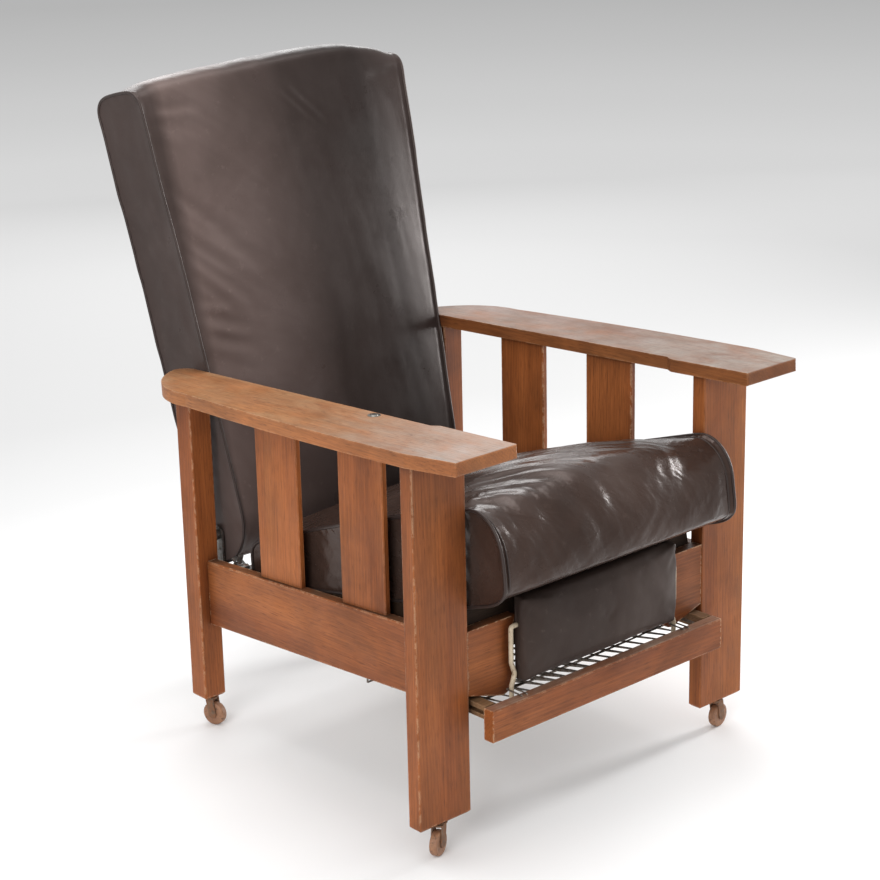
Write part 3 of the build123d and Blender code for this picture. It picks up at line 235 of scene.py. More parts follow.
def oak(
    name, along, dark, middle, light, place=(0, 0, 0), gloss=0.46,
    top=None, top_share=0.8, sheen=0.28, chips=0.8, wear_and_sheen_tone=None,
):
    # Varnished oak with its grain along this axis: broad tone, blotches, fibre, pores and worn edges.
    # Level faces take the dulled tone top; towards the front they take a paler tone, a painted reflection
    # of the window. Corners and places where parts meet get painted shade.
    material, n, l, shader = board(name)

    def stretched(across, lengthwise):
        return tuple(lengthwise if axis == along else across for axis in "XYZ")

    broad = noise_of(n, l, mapped(n, l, stretched(11, 1.3), place), 1.0, 3, 0.5, 0.3)
    tone = ramp(n, l, broad, (0.30, dark), (0.5, middle), (0.74, light))
    blotch = noise_of(n, l, mapped(n, l, stretched(15, 6), place), 1.0, 4, 0.6, 0.6)
    tone = mixed(n, l, "MULTIPLY", 0.9, tone, ramp(n, l, blotch, (0.30, grey(0.66)), (0.62, grey(1.12))))
    patch = noise_of(n, l, mapped(n, l, (1, 1, 1)), 30, 6, 0.72)
    if top:
        wide = noise_of(n, l, mapped(n, l, stretched(20, 7), place), 1.0, 4, 0.6, 0.5)
        scuffed = times(
            n, l,
            ramp(n, l, patch, (0.30, grey(0.55)), (0.60, grey(1))),
            ramp(n, l, wide, (0.36, grey(0.35)), (0.60, grey(1))),
        )
        tone = mixed(n, l, "MIX", times(n, l, facing_up(n, l), scuffed, top_share), tone, top + (1,))
        if wear_and_sheen_tone:
            # Paler and greyer towards the front on level faces: painted reflection of the window
            ahead = n.new("ShaderNodeSeparateXYZ")
            l.new(mapped(n, l, (1, -1 / 0.28, 1), (0, -0.36, 0)), ahead.inputs[0])
            painted_front_sheen = times(n, l, facing_up(n, l), scuffed, ahead.outputs["Y"], 0.42)
            tone = mixed(n, l, "MIX", painted_front_sheen, tone, wear_and_sheen_tone + (1,))
    lines = n.new("ShaderNodeTexWave")
    lines.wave_type = "BANDS"
    lines.bands_direction = "DIAGONAL"
    lines.inputs["Scale"].default_value = 2.2
    lines.inputs["Distortion"].default_value = 9
    lines.inputs["Detail"].default_value = 4
    lines.inputs["Detail Scale"].default_value = 0.7
    lines.inputs["Detail Roughness"].default_value = 0.6
    l.new(mapped(n, l, stretched(44, 1.7), place), lines.inputs["Vector"])
    figure = ramp(n, l, lines.outputs["Fac"], (0.10, grey(0.60)), (0.55, grey(1.0)))
    tone = mixed(n, l, "MULTIPLY", 0.26, tone, figure)
    streak = noise_of(n, l, mapped(n, l, stretched(430, 6), place), 1.0, 4, 0.6)
    tone = mixed(n, l, "MULTIPLY", 0.55, tone, ramp(n, l, streak, (0.36, grey(0.72)), (0.62, grey(1.15))))
    pores = noise_of(n, l, mapped(n, l, stretched(900, 42), place), 1.0, 2, 0.5)
    pits = ramp(n, l, pores, (0.58, grey(0)), (0.68, grey(1)))
    tone = mixed(n, l, "MIX", times(n, l, pits, 0.5), tone, tuple(c * 0.32 for c in dark) + (1,))
    # Painted shade: the colour is darkened in corners, hollows and where parts meet, from an occlusion test
    corner = n.new("ShaderNodeAmbientOcclusion")
    corner.samples = 5
    corner.inputs["Distance"].default_value = 0.035
    painted_corner_shade = ramp(n, l, corner.outputs["AO"], (0.45, (0.50, 0.44, 0.40)), (0.92, grey(1)))
    tone = mixed(n, l, "MULTIPLY", 1.0, tone, painted_corner_shade)
    rubbed = times(n, l, outer_edges(n, l, 0.0035), ramp(n, l, patch, (0.36, grey(0)), (0.62, grey(0.5))))
    tone = mixed(n, l, "MIX", rubbed, tone, tuple(min(1, c * 1.3) for c in light) + (1,))
    nicks = noise_of(n, l, mapped(n, l, stretched(150, 75), place), 1.0, 3, 0.6)
    chipped = times(
        n, l, outer_edges(n, l, 0.0046), ramp(n, l, nicks, (0.46, grey(0)), (0.51, grey(1))),
        ramp(n, l, patch, (0.40, grey(0)), (0.48, grey(1))), chips,
    )
    tone = mixed(n, l, "MIX", chipped, tone, (0.66, 0.45, 0.28, 1))
    l.new(tone, shader.inputs["Base Color"])
    rub = noise_of(n, l, mapped(n, l, (14, 14, 14), place), 1.0, 5, 0.6)
    l.new(ramp(n, l, rub, (0.3, grey(gloss - 0.08)), (0.7, grey(gloss + 0.12))), shader.inputs["Roughness"])
    shader.inputs["Specular IOR Level"].default_value = sheen
    under = bumped(n, l, shader, streak, 0.12, 0.0005)
    bumped(n, l, shader, ramp(n, l, pits, (0.0, grey(1)), (1.0, grey(0))), 0.25, 0.0003, under)
    return material


def hide(name, deep_tone, tone, wear_and_sheen_tone, gloss=0.40, creases=0.5, sheen=0.5, painted_light_across=(), drawn=None):
    # Old smooth leather: soft colour drift, fine pebbling, small creases and a rubbed sheen
    material, n, l, shader = board(name)
    drift = noise_of(n, l, mapped(n, l, (1, 1, 1)), 6, 4, 0.55, 0.4)
    colour = ramp(n, l, drift, (0.30, deep_tone), (0.55, tone), (0.80, wear_and_sheen_tone))
    scuff = noise_of(n, l, mapped(n, l, (1, 1, 1)), 60, 6, 0.7)
    marks = ramp(n, l, scuff, (0.60, grey(0)), (0.80, grey(0.30)))
    colour = mixed(n, l, "MIX", marks, colour, tuple(min(1, c * 1.8) for c in wear_and_sheen_tone) + (1,))
    if painted_light_across:
        # Painted light and shade across the back, from the left side to the right: darker on the left side
        # panel, paler on the left of the front, darker towards the middle and the right
        across = n.new("ShaderNodeSeparateXYZ")
        l.new(mapped(n, l, (1 / 0.54, 1, 1), (0.5, 0, 0)), across.inputs[0])
        colour = mixed(n, l, "MULTIPLY", 1.0, colour, ramp(n, l, across.outputs["X"], *painted_light_across))
    l.new(colour, shader.inputs["Base Color"])
    shader.inputs["Specular Tint"].default_value = (1.0, 0.82, 0.76, 1)
    rubbed = noise_of(n, l, mapped(n, l, (1, 1, 1)), 13, 5, 0.6)
    roughness = ramp(n, l, rubbed, (0.3, grey(gloss - 0.05)), (0.72, grey(gloss + 0.13)))
    l.new(roughness, shader.inputs["Roughness"])
    shader.inputs["Specular IOR Level"].default_value = sheen
    pebble = n.new("ShaderNodeTexVoronoi")
    pebble.feature = "DISTANCE_TO_EDGE"
    pebble.inputs["Scale"].default_value = 620
    l.new(mapped(n, l, (1, 1, 1)), pebble.inputs["Vector"])
    grain = ramp(n, l, pebble.outputs["Distance"], (0.0, grey(0)), (0.25, grey(1)))
    under = bumped(n, l, shader, grain, 0.12, 0.0003)
    if drawn:
        # Long thin wrinkles where the leather has been pulled tight, turned to this angle
        along = mapped(n, l, (1 / 4, 1 / 36, 1 / 26), turn=(0, 0, drawn))
        along.node.vector_type = "TEXTURE"
        strands = noise_of(n, l, along, 1.0, 3, 0.5, 0.5)
        wrinkles = ramp(n, l, strands, (0.36, grey(0)), (0.68, grey(1)))
        under = bumped(n, l, shader, wrinkles, 0.30, 0.0022, under)
    fine = noise_of(n, l, mapped(n, l, (30, 30, 30)), 1.0, 5, 0.6, 0.9)
    bumped(n, l, shader, fine, creases * 0.4, 0.0022, under)
    return material


def metal(name, bright, dull, rough, rust=0.0, rust_tone=(0.16, 0.07, 0.035), shine=1.0):
    # Clouded metal or paint with spots of rust or grime, as far over it as rust says
    material, n, l, shader = board(name)
    cloud = noise_of(n, l, mapped(n, l, (1, 1, 1)), 70, 6, 0.65)
    colour = ramp(n, l, cloud, (0.35, dull), (0.65, bright))
    if rust:
        spots = noise_of(n, l, mapped(n, l, (1, 1, 1)), 160, 7, 0.7)
        mask = ramp(n, l, spots, (0.62 - 0.25 * rust, grey(0)), (0.74 - 0.2 * rust, grey(1)))
        colour = mixed(n, l, "MIX", mask, colour, rust_tone + (1,))
        l.new(ramp(n, l, mask, (0.0, grey(shine)), (1.0, grey(0.0))), shader.inputs["Metallic"])
        l.new(ramp(n, l, mask, (0.0, grey(rough)), (1.0, grey(0.85))), shader.inputs["Roughness"])
        bumped(n, l, shader, spots, 0.35, 0.0006)
    else:
        shader.inputs["Metallic"].default_value = shine
        roughness = ramp(n, l, cloud, (0.3, grey(rough - 0.06)), (0.7, grey(rough + 0.1)))
        l.new(roughness, shader.inputs["Roughness"])
        bumped(n, l, shader, cloud, 0.08, 0.0003)
    l.new(colour, shader.inputs["Base Color"])
    return material


def cloth(name, dark, light, threads=900):
    # Plain woven cloth: two crossed sets of fine bands
    material, n, l, shader = board(name)
    warp = n.new("ShaderNodeTexWave")
    warp.bands_direction = "X"
    weft = n.new("ShaderNodeTexWave")
    weft.bands_direction = "Z"
    for bands in (warp, weft):
        bands.inputs["Scale"].default_value = threads / 6
        bands.inputs["Distortion"].default_value = 0.6
        l.new(mapped(n, l, (1, 1, 1)), bands.inputs["Vector"])
    weave = mixed(n, l, "MULTIPLY", 1.0, warp.outputs["Color"], weft.outputs["Color"])
    cloud = noise_of(n, l, mapped(n, l, (1, 1, 1)), 26, 5, 0.6)
    colour = ramp(n, l, cloud, (0.3, dark), (0.7, light))
    colour = mixed(n, l, "MULTIPLY", 0.35, colour, weave)
    l.new(colour, shader.inputs["Base Color"])
    shader.inputs["Roughness"].default_value = 0.9
    bumped(n, l, shader, weave, 0.4, 0.0004)
    return material


oak_dark, oak_mid, oak_light = (0.190, 0.050, 0.013), (0.285, 0.085, 0.023), (0.370, 0.120, 0.034)
dusty = (0.120, 0.080, 0.052)
upright_oak = oak("upright_oak", "Z", oak_dark, oak_mid, oak_light, chips=1.0)
slat_oak = oak(
    "slat_oak", "Z", (0.225, 0.062, 0.016), (0.345, 0.106, 0.028), (0.430, 0.145, 0.040),
    place=(0.6, 0.3, 0.5), chips=0.15,
)
foot_oak = oak(
    "foot_oak", "X", oak_dark, oak_mid, oak_light,
    place=(0.25, 0.6, 0.1), top=(0.36, 0.26, 0.20), top_share=0.9,
)
rail_oak = oak("rail_oak", "Y", oak_dark, oak_mid, oak_light, place=(0.4, 0.2, 0.9), top=dusty)
cross_oak = oak("cross_oak", "X", oak_dark, oak_mid, oak_light, place=(0.7, 0.1, 0.3), top=dusty)
# Its pale grey tone towards the front of the top is a painted reflection of the window
arm_oak = oak(
    "arm_oak", "Y", (0.215, 0.064, 0.016), (0.315, 0.105, 0.029), (0.40, 0.150, 0.046),
    place=(0.15, 0.5, 0.2), gloss=0.48, sheen=0.40, chips=0.25,
    top=(0.345, 0.187, 0.090), top_share=0.85, wear_and_sheen_tone=(0.30, 0.32, 0.33),
)
# The far arm's own copy of the arm oak, darker and greyer: painted shade against the window light that
# falls on it, with the same painted reflection towards the front
far_arm_shaded_oak = oak(
    "far_arm_shaded_oak", "Y", (0.165, 0.050, 0.014), (0.235, 0.080, 0.024), (0.30, 0.115, 0.038),
    place=(0.65, 0.1, 0.8), gloss=0.52, sheen=0.28, chips=0.25,
    top=(0.205, 0.150, 0.118), top_share=0.85, wear_and_sheen_tone=(0.42, 0.40, 0.36),
)
inner_wood = oak(
    "inner_wood", "X", (0.17, 0.085, 0.040), (0.26, 0.140, 0.068), (0.34, 0.20, 0.10),
    place=(0.9, 0.6, 0.4), gloss=0.65, chips=0.2,
)
# Near-black wood for the frame parts hidden in the dark gaps round the cushions: painted shade
painted_shade_wood = oak(
    "painted_shade_wood", "X", (0.030, 0.017, 0.010), (0.050, 0.028, 0.016), (0.080, 0.046, 0.027),
    place=(0.3, 0.8, 0.1), gloss=0.65, chips=0.1,
)
seat_hide = hide(
    "seat_hide", (0.028, 0.016, 0.012), (0.044, 0.026, 0.020), (0.068, 0.046, 0.038),
    gloss=0.22, creases=0.7, sheen=0.36, drawn=math.radians(-42),
)
back_hide = hide(
    "back_hide", (0.064, 0.046, 0.041), (0.086, 0.062, 0.056), (0.112, 0.084, 0.077),
    gloss=0.30, creases=0.3, sheen=0.15,
    # Painted light and shade from the left side of the back to the right
    painted_light_across=(
        (0.03, grey(0.68)), (0.07, grey(1.48)), (0.28, grey(1.05)),
        (0.52, grey(0.38)), (0.82, grey(0.21)), (1.0, grey(0.44)),
    ),
)
pad_hide = hide(
    "pad_hide", (0.026, 0.017, 0.014), (0.046, 0.032, 0.027), (0.082, 0.063, 0.056),
    gloss=0.50, sheen=0.22,
)
welt_hide = hide(
    "welt_hide", (0.018, 0.013, 0.012), (0.028, 0.020, 0.018), (0.050, 0.038, 0.034), creases=0.2,
)
lining = cloth("lining", (0.016, 0.014, 0.013), (0.030, 0.026, 0.024))
jute = cloth("jute", (0.22, 0.17, 0.11), (0.38, 0.31, 0.21), threads=300)
dull_steel = metal("dull_steel", (0.34, 0.33, 0.31), (0.20, 0.19, 0.18), 0.42, rust=0.35)
old_nickel = metal("old_nickel", (0.52, 0.50, 0.46), (0.28, 0.26, 0.24), 0.28)
basket_steel = metal(
    "basket_steel", (0.30, 0.27, 0.24), (0.14, 0.12, 0.10), 0.5,
    rust=0.6, rust_tone=(0.10, 0.055, 0.032), shine=0.85,
)
worn_cream = metal(
    "worn_cream", (0.60, 0.50, 0.36), (0.46, 0.37, 0.26), 0.45,
    rust=0.25, rust_tone=(0.20, 0.13, 0.08), shine=0.0,
)
rusty_iron = metal(
    "rusty_iron", (0.24, 0.16, 0.11), (0.12, 0.075, 0.05), 0.6,
    rust=0.8, rust_tone=(0.20, 0.085, 0.038), shine=0.6,
)
# Wooden rollers, made as a clouded surface with grime in it
roller_wood = metal(
    "roller_wood", (0.34, 0.17, 0.09), (0.20, 0.09, 0.048), 0.5,
    rust=0.3, rust_tone=(0.10, 0.06, 0.04), shine=0.0,
)

finishes = {
    # The right slats take the darker upright oak: painted shade on their inner faces
    upright_oak: ("front_post_left", "back_post_left", "back_post_right",
                  "front_slat_right", "rear_slat_right"),
    slat_oak: ("front_slat_left", "rear_slat_left", "front_post_right"),
    foot_oak: ("footboard",),
    rail_oak: ("side_rail_left", "side_rail_right"),
    cross_oak: ("front_bracket_left", "front_bracket_right", "rear_cross_rail"),
    arm_oak: ("arm_left",),
    far_arm_shaded_oak: ("arm_right",),
    painted_shade_wood: ("front_cross_rail", "seat_bar_left", "seat_bar_right", "seat_bar_front",
                   "back_stile_left", "back_stile_right", "back_bottom_rail"),
    inner_wood: ("seat_rest_rail", "seat_bar_rear", "back_top_rail", "back_mid_rail", "leg_board",
                 "carriage_runner_left", "carriage_runner_right", "carriage_tail_bar", "runner_guides"),
    lining: ("back_panel",),
    jute: ("seat_webbing",),
    dull_steel: ("recline_quadrant", "hinge_plate_right", "back_pivot_pins", "clutch_bracket",
                 "clutch_lever", "link_rod", "bell_crank", "crank_pivot", "push_rod"),
    old_nickel: ("push_button", "button_plate"),
    worn_cream: ("support_rods",),
    basket_steel: ("wire_basket", "rod_staples"),
    rusty_iron: ("caster_sockets", "caster_fork_front_left", "caster_fork_front_right",
                 "caster_fork_back_left", "caster_fork_back_right"),
    roller_wood: ("caster_wheel_front_left", "caster_wheel_front_right",
                  "caster_wheel_back_left", "caster_wheel_back_right"),
}
for material, names in finishes.items():
    for name in names:
        nodes[name].material_slots[0].material = material


# ---- Leather work

stitch = 0.0015  # between the points of a seam
seam_hold = 0.006  # this close to a seam the leather doesn't move
cloth_moments = 20  # how long the leather is left to swell


def seam_round(piece, side, square=(1, 0, 0)):
    # Points in order round a side panel, where it is sewn to the long panel
    mesh = bmesh.new()
    mesh.from_mesh(piece.data)
    out = Vector(square).normalized() * side
    edges = {}
    for edge in mesh.edges:
        flat = [f.normal.dot(out) > 0.97 and f.calc_center_median().x * side > 0 for f in edge.link_faces]
        if len(flat) == 2 and flat[0] != flat[1]:
            a, b = edge.verts
            edges.setdefault(a.index, []).append(b.index)
            edges.setdefault(b.index, []).append(a.index)
    mesh.verts.ensure_lookup_table()
    start = min(edges, key=lambda i: mesh.verts[i].co.z)
    order, last, here = [start], None, start
    while True:
        ahead = [i for i in edges[here] if i != last]
        if not ahead or ahead[0] == start:
            break
        last, here = here, ahead[0]
        order.append(here)
    points = [mesh.verts[i].co.copy() for i in order]
    mesh.free()
    return points


def evenly(points, step):
    # The same closed line with points this far apart
    loop = points + points[:1]
    lengths = [0.0]
    for a, b in zip(loop, loop[1:]):
        lengths.append(lengths[-1] + (b - a).length)
    count = max(3, round(lengths[-1] / step))
    out, k = [], 0
    for i in range(count):
        want = lengths[-1] * i / count
        while k < len(lengths) - 2 and lengths[k + 1] < want:
            k += 1
        span = lengths[k + 1] - lengths[k] or 1
        out.append(loop[k].lerp(loop[k + 1], (want - lengths[k]) / span))
    return out


def swollen(piece, held, pressure, cap):
    # Blows the leather up where it isn't held, then limits how far each point went
    group = piece.vertex_groups.new(name="held")
    for vertex in piece.data.vertices:
        weight = held(vertex.co)
        if weight > 0:
            group.add([vertex.index], weight, "ADD")
    start = [v.co.copy() for v in piece.data.vertices]
    only(piece)
    modifier = piece.modifiers.new("Cloth", "CLOTH")
    settings = modifier.settings
    settings.quality = 5
    settings.mass = 0.35
    settings.tension_stiffness = 18
    settings.compression_stiffness = 18
    settings.bending_stiffness = 1.2
    settings.use_pressure = True
    settings.uniform_pressure_force = pressure
    settings.vertex_group_mass = "held"
    settings.effector_weights.gravity = 0
    modifier.collision_settings.use_collision = False
    for moment in range(cloth_moments):
        scene.frame_set(moment + 1)
    bpy.ops.object.modifier_apply(modifier="Cloth")
    scene.frame_set(1)
    for vertex, rest in zip(piece.data.vertices, start):
        went = vertex.co - rest
        if went.length > cap:
            vertex.co = rest + went * (cap / went.length)
    piece.vertex_groups.clear()


def near(points):
    # Gives for any place the nearest of these points and its distance
    tree = kdtree.KDTree(len(points))
    for i, point in enumerate(points):
        tree.insert(point, i)
    tree.balance()

    def nearest(place):
        point, _, gap = tree.find(place)
        return point, gap

    return nearest


def sewn(piece, seam, reach):
    # Draws the surface to its seams, so that the edges between panels run true
    for vertex in piece.data.vertices:
        point, gap = seam(vertex.co)
        if gap < reach:
            vertex.co = point


def eased(piece, held, turns):
    # Smooths the surface where it isn't held
    group = piece.vertex_groups.new(name="free")
    for vertex in piece.data.vertices:
        loose = 1 - min(1.0, held(vertex.co))
        if loose > 0:
            group.add([vertex.index], loose, "ADD")
    apply(piece, "SMOOTH", factor=0.5, iterations=turns, vertex_group="free")
    piece.vertex_groups.clear()


def moved_along_normals(piece, height):
    # Adds this height, a function of place and normal, to the surface
    moves = [height(v.co, v.normal) for v in piece.data.vertices]
    normals = [v.normal.copy() for v in piece.data.vertices]
    for vertex, move, normal in zip(piece.data.vertices, moves, normals):
        vertex.co += normal * move


def laid_on(piece, points, lift):
    # This closed line brought to the surface, this far above it, without its small kinks
    surface = BVHTree.FromObject(piece, bpy.context.evaluated_depsgraph_get())
    out = []
    for point in points:
        place, normal, _, _ = surface.find_nearest(point)
        out.append(place + normal * lift)
    for _ in range(4):
        out = [(out[i - 1] + out[i] * 2 + out[(i + 1) % len(out)]) / 4 for i in range(len(out))]
    return out


def ripple(place, across, along, seed, drift=0.0):
    # A long fold pattern: quick changes across, slow changes along, wandering by this much
    if drift:
        place = place + noise.noise_vector(place * 6 + Vector((seed, 0, 0))) * drift
    spot = Vector((place.dot(across[0]) * across[1], place.dot(along[0]) * along[1], seed))
    return noise.fractal(spot, 1.0, 2.1, 3)


def crease(place, start, end, width, depth):
    # A single soft fold from start to end: a dip with a raised lip beside it, fading at both ends
    run = end - start
    share = (place - start).dot(run) / run.length_squared
    if not -0.2 < share < 1.2:
        return 0.0
    side = place - start - run * share
    across = run.cross(Vector((0, -1, 0))).normalized()
    away = side.dot(across) / width
    fade = max(0.0, 1 - (2 * share - 1) ** 4) * max(0.0, 1 - share * 0.6)
    return depth * fade * (math.exp(-((away - 1.3) ** 2)) - math.exp(-(away ** 2)))


def off_seam(gap):
    # 0 on a seam and 1 well away from it
    return clipped((gap - 0.004) / 0.03)


def groove(gap, depth):
    # The dip beside a seam
    return -depth * math.exp(-(((gap - 0.008) / 0.004) ** 2))


def carved(piece, low, high, flare=0.0, place=None):
    # Cuts a box, wider towards its top by this flare, out of the piece
    bpy.ops.mesh.primitive_cube_add(size=1)
    block = bpy.context.object
    for vertex in block.data.vertices:
        at = Vector([high[i] if vertex.co[i] > 0 else low[i] for i in range(3)])
        at.x += math.copysign(flare * at.z, at.x)
        vertex.co = place(at) if place else at
    apply(piece, "BOOLEAN", object=block, operation="DIFFERENCE", solver="EXACT")
    bpy.data.objects.remove(block)


def drilled(piece, centre, radius, length):
    # Bores a round hole across the piece, along X
    bpy.ops.mesh.primitive_cylinder_add(
        vertices=20, radius=radius, depth=length, location=centre, rotation=(0, math.pi / 2, 0),
    )
    drill = bpy.context.object
    apply(piece, "BOOLEAN", object=drill, operation="DIFFERENCE", solver="EXACT")
    bpy.data.objects.remove(drill)


def filled_in(piece, inside):
    # Takes out the faces of a recess or hole and closes the opening
    only(piece)
    bpy.ops.object.mode_set(mode="EDIT")
    bpy.ops.mesh.select_mode(type="FACE")
    bpy.ops.mesh.select_all(action="DESELECT")
    shell = bmesh.from_edit_mesh(piece.data)
    for face in shell.faces:
        face.select_set(all(inside(v.co) for v in face.verts))
    bmesh.update_edit_mesh(piece.data)
    bpy.ops.mesh.delete(type="FACE")
    bpy.ops.mesh.select_mode(type="EDGE")
    bpy.ops.mesh.select_all(action="DESELECT")
    bpy.ops.mesh.select_non_manifold()
    bpy.ops.mesh.fill()
    bpy.ops.object.mode_set(mode="OBJECT")


# Seat: one long panel over the top, nose and underside, sewn to a panel on each side
seat = copied("seat_cushion", "seat_leather")
seat_plane = 0.375  # height of the seat frame's plane at the front face
seat_fall = 0.19  # its slope to the rear
seat_seams = {side: evenly(seam_round(seat, side), stitch) for side in (-1, 1)}
apply(seat, "REMESH", mode="VOXEL", voxel_size=0.0058)
seat_seam = near(seat_seams[-1] + seat_seams[1])


def seat_under(place):
    # Height over the plane of the seat frame
    return place.z - (seat_plane - seat_fall * (place.y - front_face))


def seat_held(place):
    if seat_seam(place)[1] < seam_hold:
        return 1.0
    if seat_under(place) < 0.010 and place.y > front_face - 0.02:
        return 1.0
    return 0.0


def seat_set(place):
    # Only the roll at the front is left free
    loose = place.y < front_face + 0.10 and seat_under(place) > 0.025
    return seat_held(place) if loose else 1.0


def rolled_off(place):
    # How far the top drops towards the nose, where it is worn down from sitting
    ahead = clipped((front_face + 0.12 - place.y) / 0.16)
    raised = clipped((seat_under(place) - 0.05) / 0.08)
    return 0.026 * ahead ** 2 * raised * min(1.0, seat_seam(place)[1] / 0.06)


sewn(seat, seat_seam, 0.0042)
for vertex in seat.data.vertices:
    vertex.co.z -= rolled_off(vertex.co)
eased(seat, seat_set, 70)
eased(seat, seat_held, 8)
moved_along_normals(seat, lambda p, n: -0.003 if not seat_held(p) else 0.0)
eased(seat, seat_held, 3)
apply(seat, "SUBSURF", levels=1, render_levels=1)

# Directions of the seat's folds: across and along the long ones, round the nose, and off the seams
fold_a = Vector((0.67, 0.74, 0.0))
fold_b = Vector((0.74, -0.67, 0.0))
fold_c = Vector((0.52, 0.46, -0.72))
seam_pull = Vector((0.86, 0.5, 0.0))


def seat_folds(place, normal):
    gap = seat_seam(place)[1]
    clear = off_seam(gap)
    if abs(normal.x) > 0.8:
        broad = 0.0022 * noise.noise(place * 17) * min(1, gap / 0.03)
        return broad + 0.0010 * noise.noise(place * 48) * clear
    if normal.z < -0.3:
        return 0.0
    top = max(0.0, normal.z)
    left = clipped((0.16 - place.x) / 0.30)
    long_folds = ripple(place, (fold_a, 15), (fold_b, 2.4), 2.0, 0.030)
    fine_folds = ripple(place, (fold_a, 44), (fold_b, 5), 7.0, 0.014)
    pulls = ripple(place, (Vector((0.5, -0.86, 0)), 30), (seam_pull, 6), 4.0, 0.012)
    pulls *= math.exp(-((gap / 0.07) ** 2))
    nose = ripple(place, (Vector((1, 0, 0.35)), 30), (Vector((-0.35, 0.5, 1)), 7), 5.0, 0.02)
    rolled = ripple(place, (fold_c, 21), (fold_b, 3.4), 3.0, 0.024)
    flat = top * clipped((place.y - front_face + 0.02) / 0.08)
    height = flat * (0.0090 * long_folds * (0.8 + 0.2 * left) + 0.0018 * fine_folds)
    round_nose = 0.0060 * rolled * (0.25 + 0.75 * top) + 0.0024 * nose * (0.25 + 0.75 * left)
    height += (1 - flat) * round_nose
    height += 0.0034 * pulls
    return height * clear + groove(gap, 0.0012)


moved_along_normals(seat, seat_folds)
finish(seat, "frame", seat_hide, 180)
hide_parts("seat_cushion")

welts = []
for side in (-1, 1):
    edge = evenly(seat_seams[side], 0.007)
    welts.append(tube("seat_welt", laid_on(seat, edge, 0.0005), 0.0026))
    inner = [p - Vector((side * 0.011, 0, 0)) for p in edge]
    welts.append(tube("seat_second_welt", laid_on(seat, inner, 0.0006), 0.0016))
finish(joined(welts, "seat_welts"), "frame", welt_hide)

# Back: one long panel over the front and the top, sewn to a tapering panel on each side
back = copied("back_cushion", "back_leather")
flare = 0.050  # each side's slope outwards, per metre up
back_half = 0.2385  # half width at the pivot's height
back_wall = 0.008  # leather and stuffing beside the wooden frame
recess_depth = 0.0197  # how far behind the pivot the wooden frame's space starts
recess_top = 0.7042
wrapped = 0.038  # past this depth the leather lies tight round the rear
screw_spots = ((0.032, -0.012), (0.032, -0.034))  # to the rear and up from the pivot
screw_bore = 0.0024


def on_back(place):
    # Place in the back's own frame: across, out to the rear and up
    p = place - pivot
    return Vector((p.x, p.dot(back_out), p.dot(back_up)))


def off_back(at):
    # The other way round: from the back's own frame to the room
    return pivot + Vector((at.x, 0, 0)) + back_out * at.y + back_up * at.z


def in_recess(place):
    at = on_back(place)
    half = back_half + flare * at.z - back_wall + 0.0004
    return at.y > recess_depth - 0.0005 and abs(at.x) < half and at.z < recess_top + 0.0003


def in_screw_hole(place):
    if abs(place.x) < 0.2:
        return False
    at = place - pivot
    return any(math.hypot(at.y - y, at.z - z) < screw_bore + 0.0002 for y, z in screw_spots)


back_seams = {side: evenly(seam_round(back, side, (1, 0, -flare * side)), stitch) for side in (-1, 1)}
filled_in(back, lambda p: in_recess(p) or in_screw_hole(p))
apply(back, "REMESH", mode="VOXEL", voxel_size=0.0062)
back_seam = near(back_seams[-1] + back_seams[1])


def back_held(place):
    if back_seam(place)[1] < seam_hold or on_back(place).y > wrapped:
        return 1.0
    return 0.0


sewn(back, back_seam, 0.0045)
eased(back, back_held, 12)
moved_along_normals(back, lambda p, n: -0.002 if not back_held(p) else 0.0)
eased(back, back_held, 8)

# The crown has settled: lower left of the middle, fuller to the right (shares of the half width, metres)
crown_places = (-1.0, -0.62, -0.3, 0.0, 0.3, 0.5, 0.62, 0.85, 1.0)
crown_lifts = (0.012, -0.002, -0.009, -0.007, 0.0, 0.006, 0.010, 0.014, 0.013)


def settled(place):
    at = on_back(place)
    share = max(-0.999, min(0.999, at.x / 0.272))
    k = max(i for i, start in enumerate(crown_places) if start <= share)
    part = (share - crown_places[k]) / (crown_places[k + 1] - crown_places[k])
    lift = crown_lifts[k] + (crown_lifts[k + 1] - crown_lifts[k]) * part
    rise = clipped((at.z - 0.55) / 0.15)
    widen = clipped((at.z - 0.45) / 0.17)
    move = back_up * lift * rise * rise * (3 - 2 * rise)
    move.x += 0.004 * at.x / 0.26 * widen
    return move


for vertex in back.data.vertices:
    vertex.co += settled(vertex.co)
back_seams = {side: [p + settled(p) for p in line] for side, line in back_seams.items()}
back_seam = near(back_seams[-1] + back_seams[1])
eased(back, back_held, 5)
apply(back, "SUBSURF", levels=1, render_levels=1)

# Soft folds that run in from the left seam and from the top corners, in the back's own frame:
# start and end (across, up), width and depth
back_creases = [
    ((-0.262, 0.575), (-0.150, 0.470), 0.012, 0.0040),
    ((-0.261, 0.545), (-0.110, 0.420), 0.015, 0.0042),
    ((-0.259, 0.510), (-0.170, 0.420), 0.010, 0.0034),
    ((-0.258, 0.480), (-0.140, 0.360), 0.012, 0.0034),
    ((-0.256, 0.440), (-0.185, 0.370), 0.010, 0.0026),
    ((-0.249, 0.390), (-0.190, 0.375), 0.009, 0.0024),
    ((-0.252, 0.365), (-0.160, 0.330), 0.012, 0.0034),
    ((-0.250, 0.335), (-0.140, 0.290), 0.013, 0.0030),
    ((-0.272, 0.702), (-0.165, 0.700), 0.010, 0.0030),
    ((-0.266, 0.680), (-0.180, 0.655), 0.014, 0.0022),
    ((0.000, 0.705), (0.060, 0.640), 0.006, 0.0008),
    ((0.022, 0.712), (0.085, 0.640), 0.007, 0.0009),
    ((0.272, 0.705), (0.190, 0.706), 0.010, 0.0020),
]


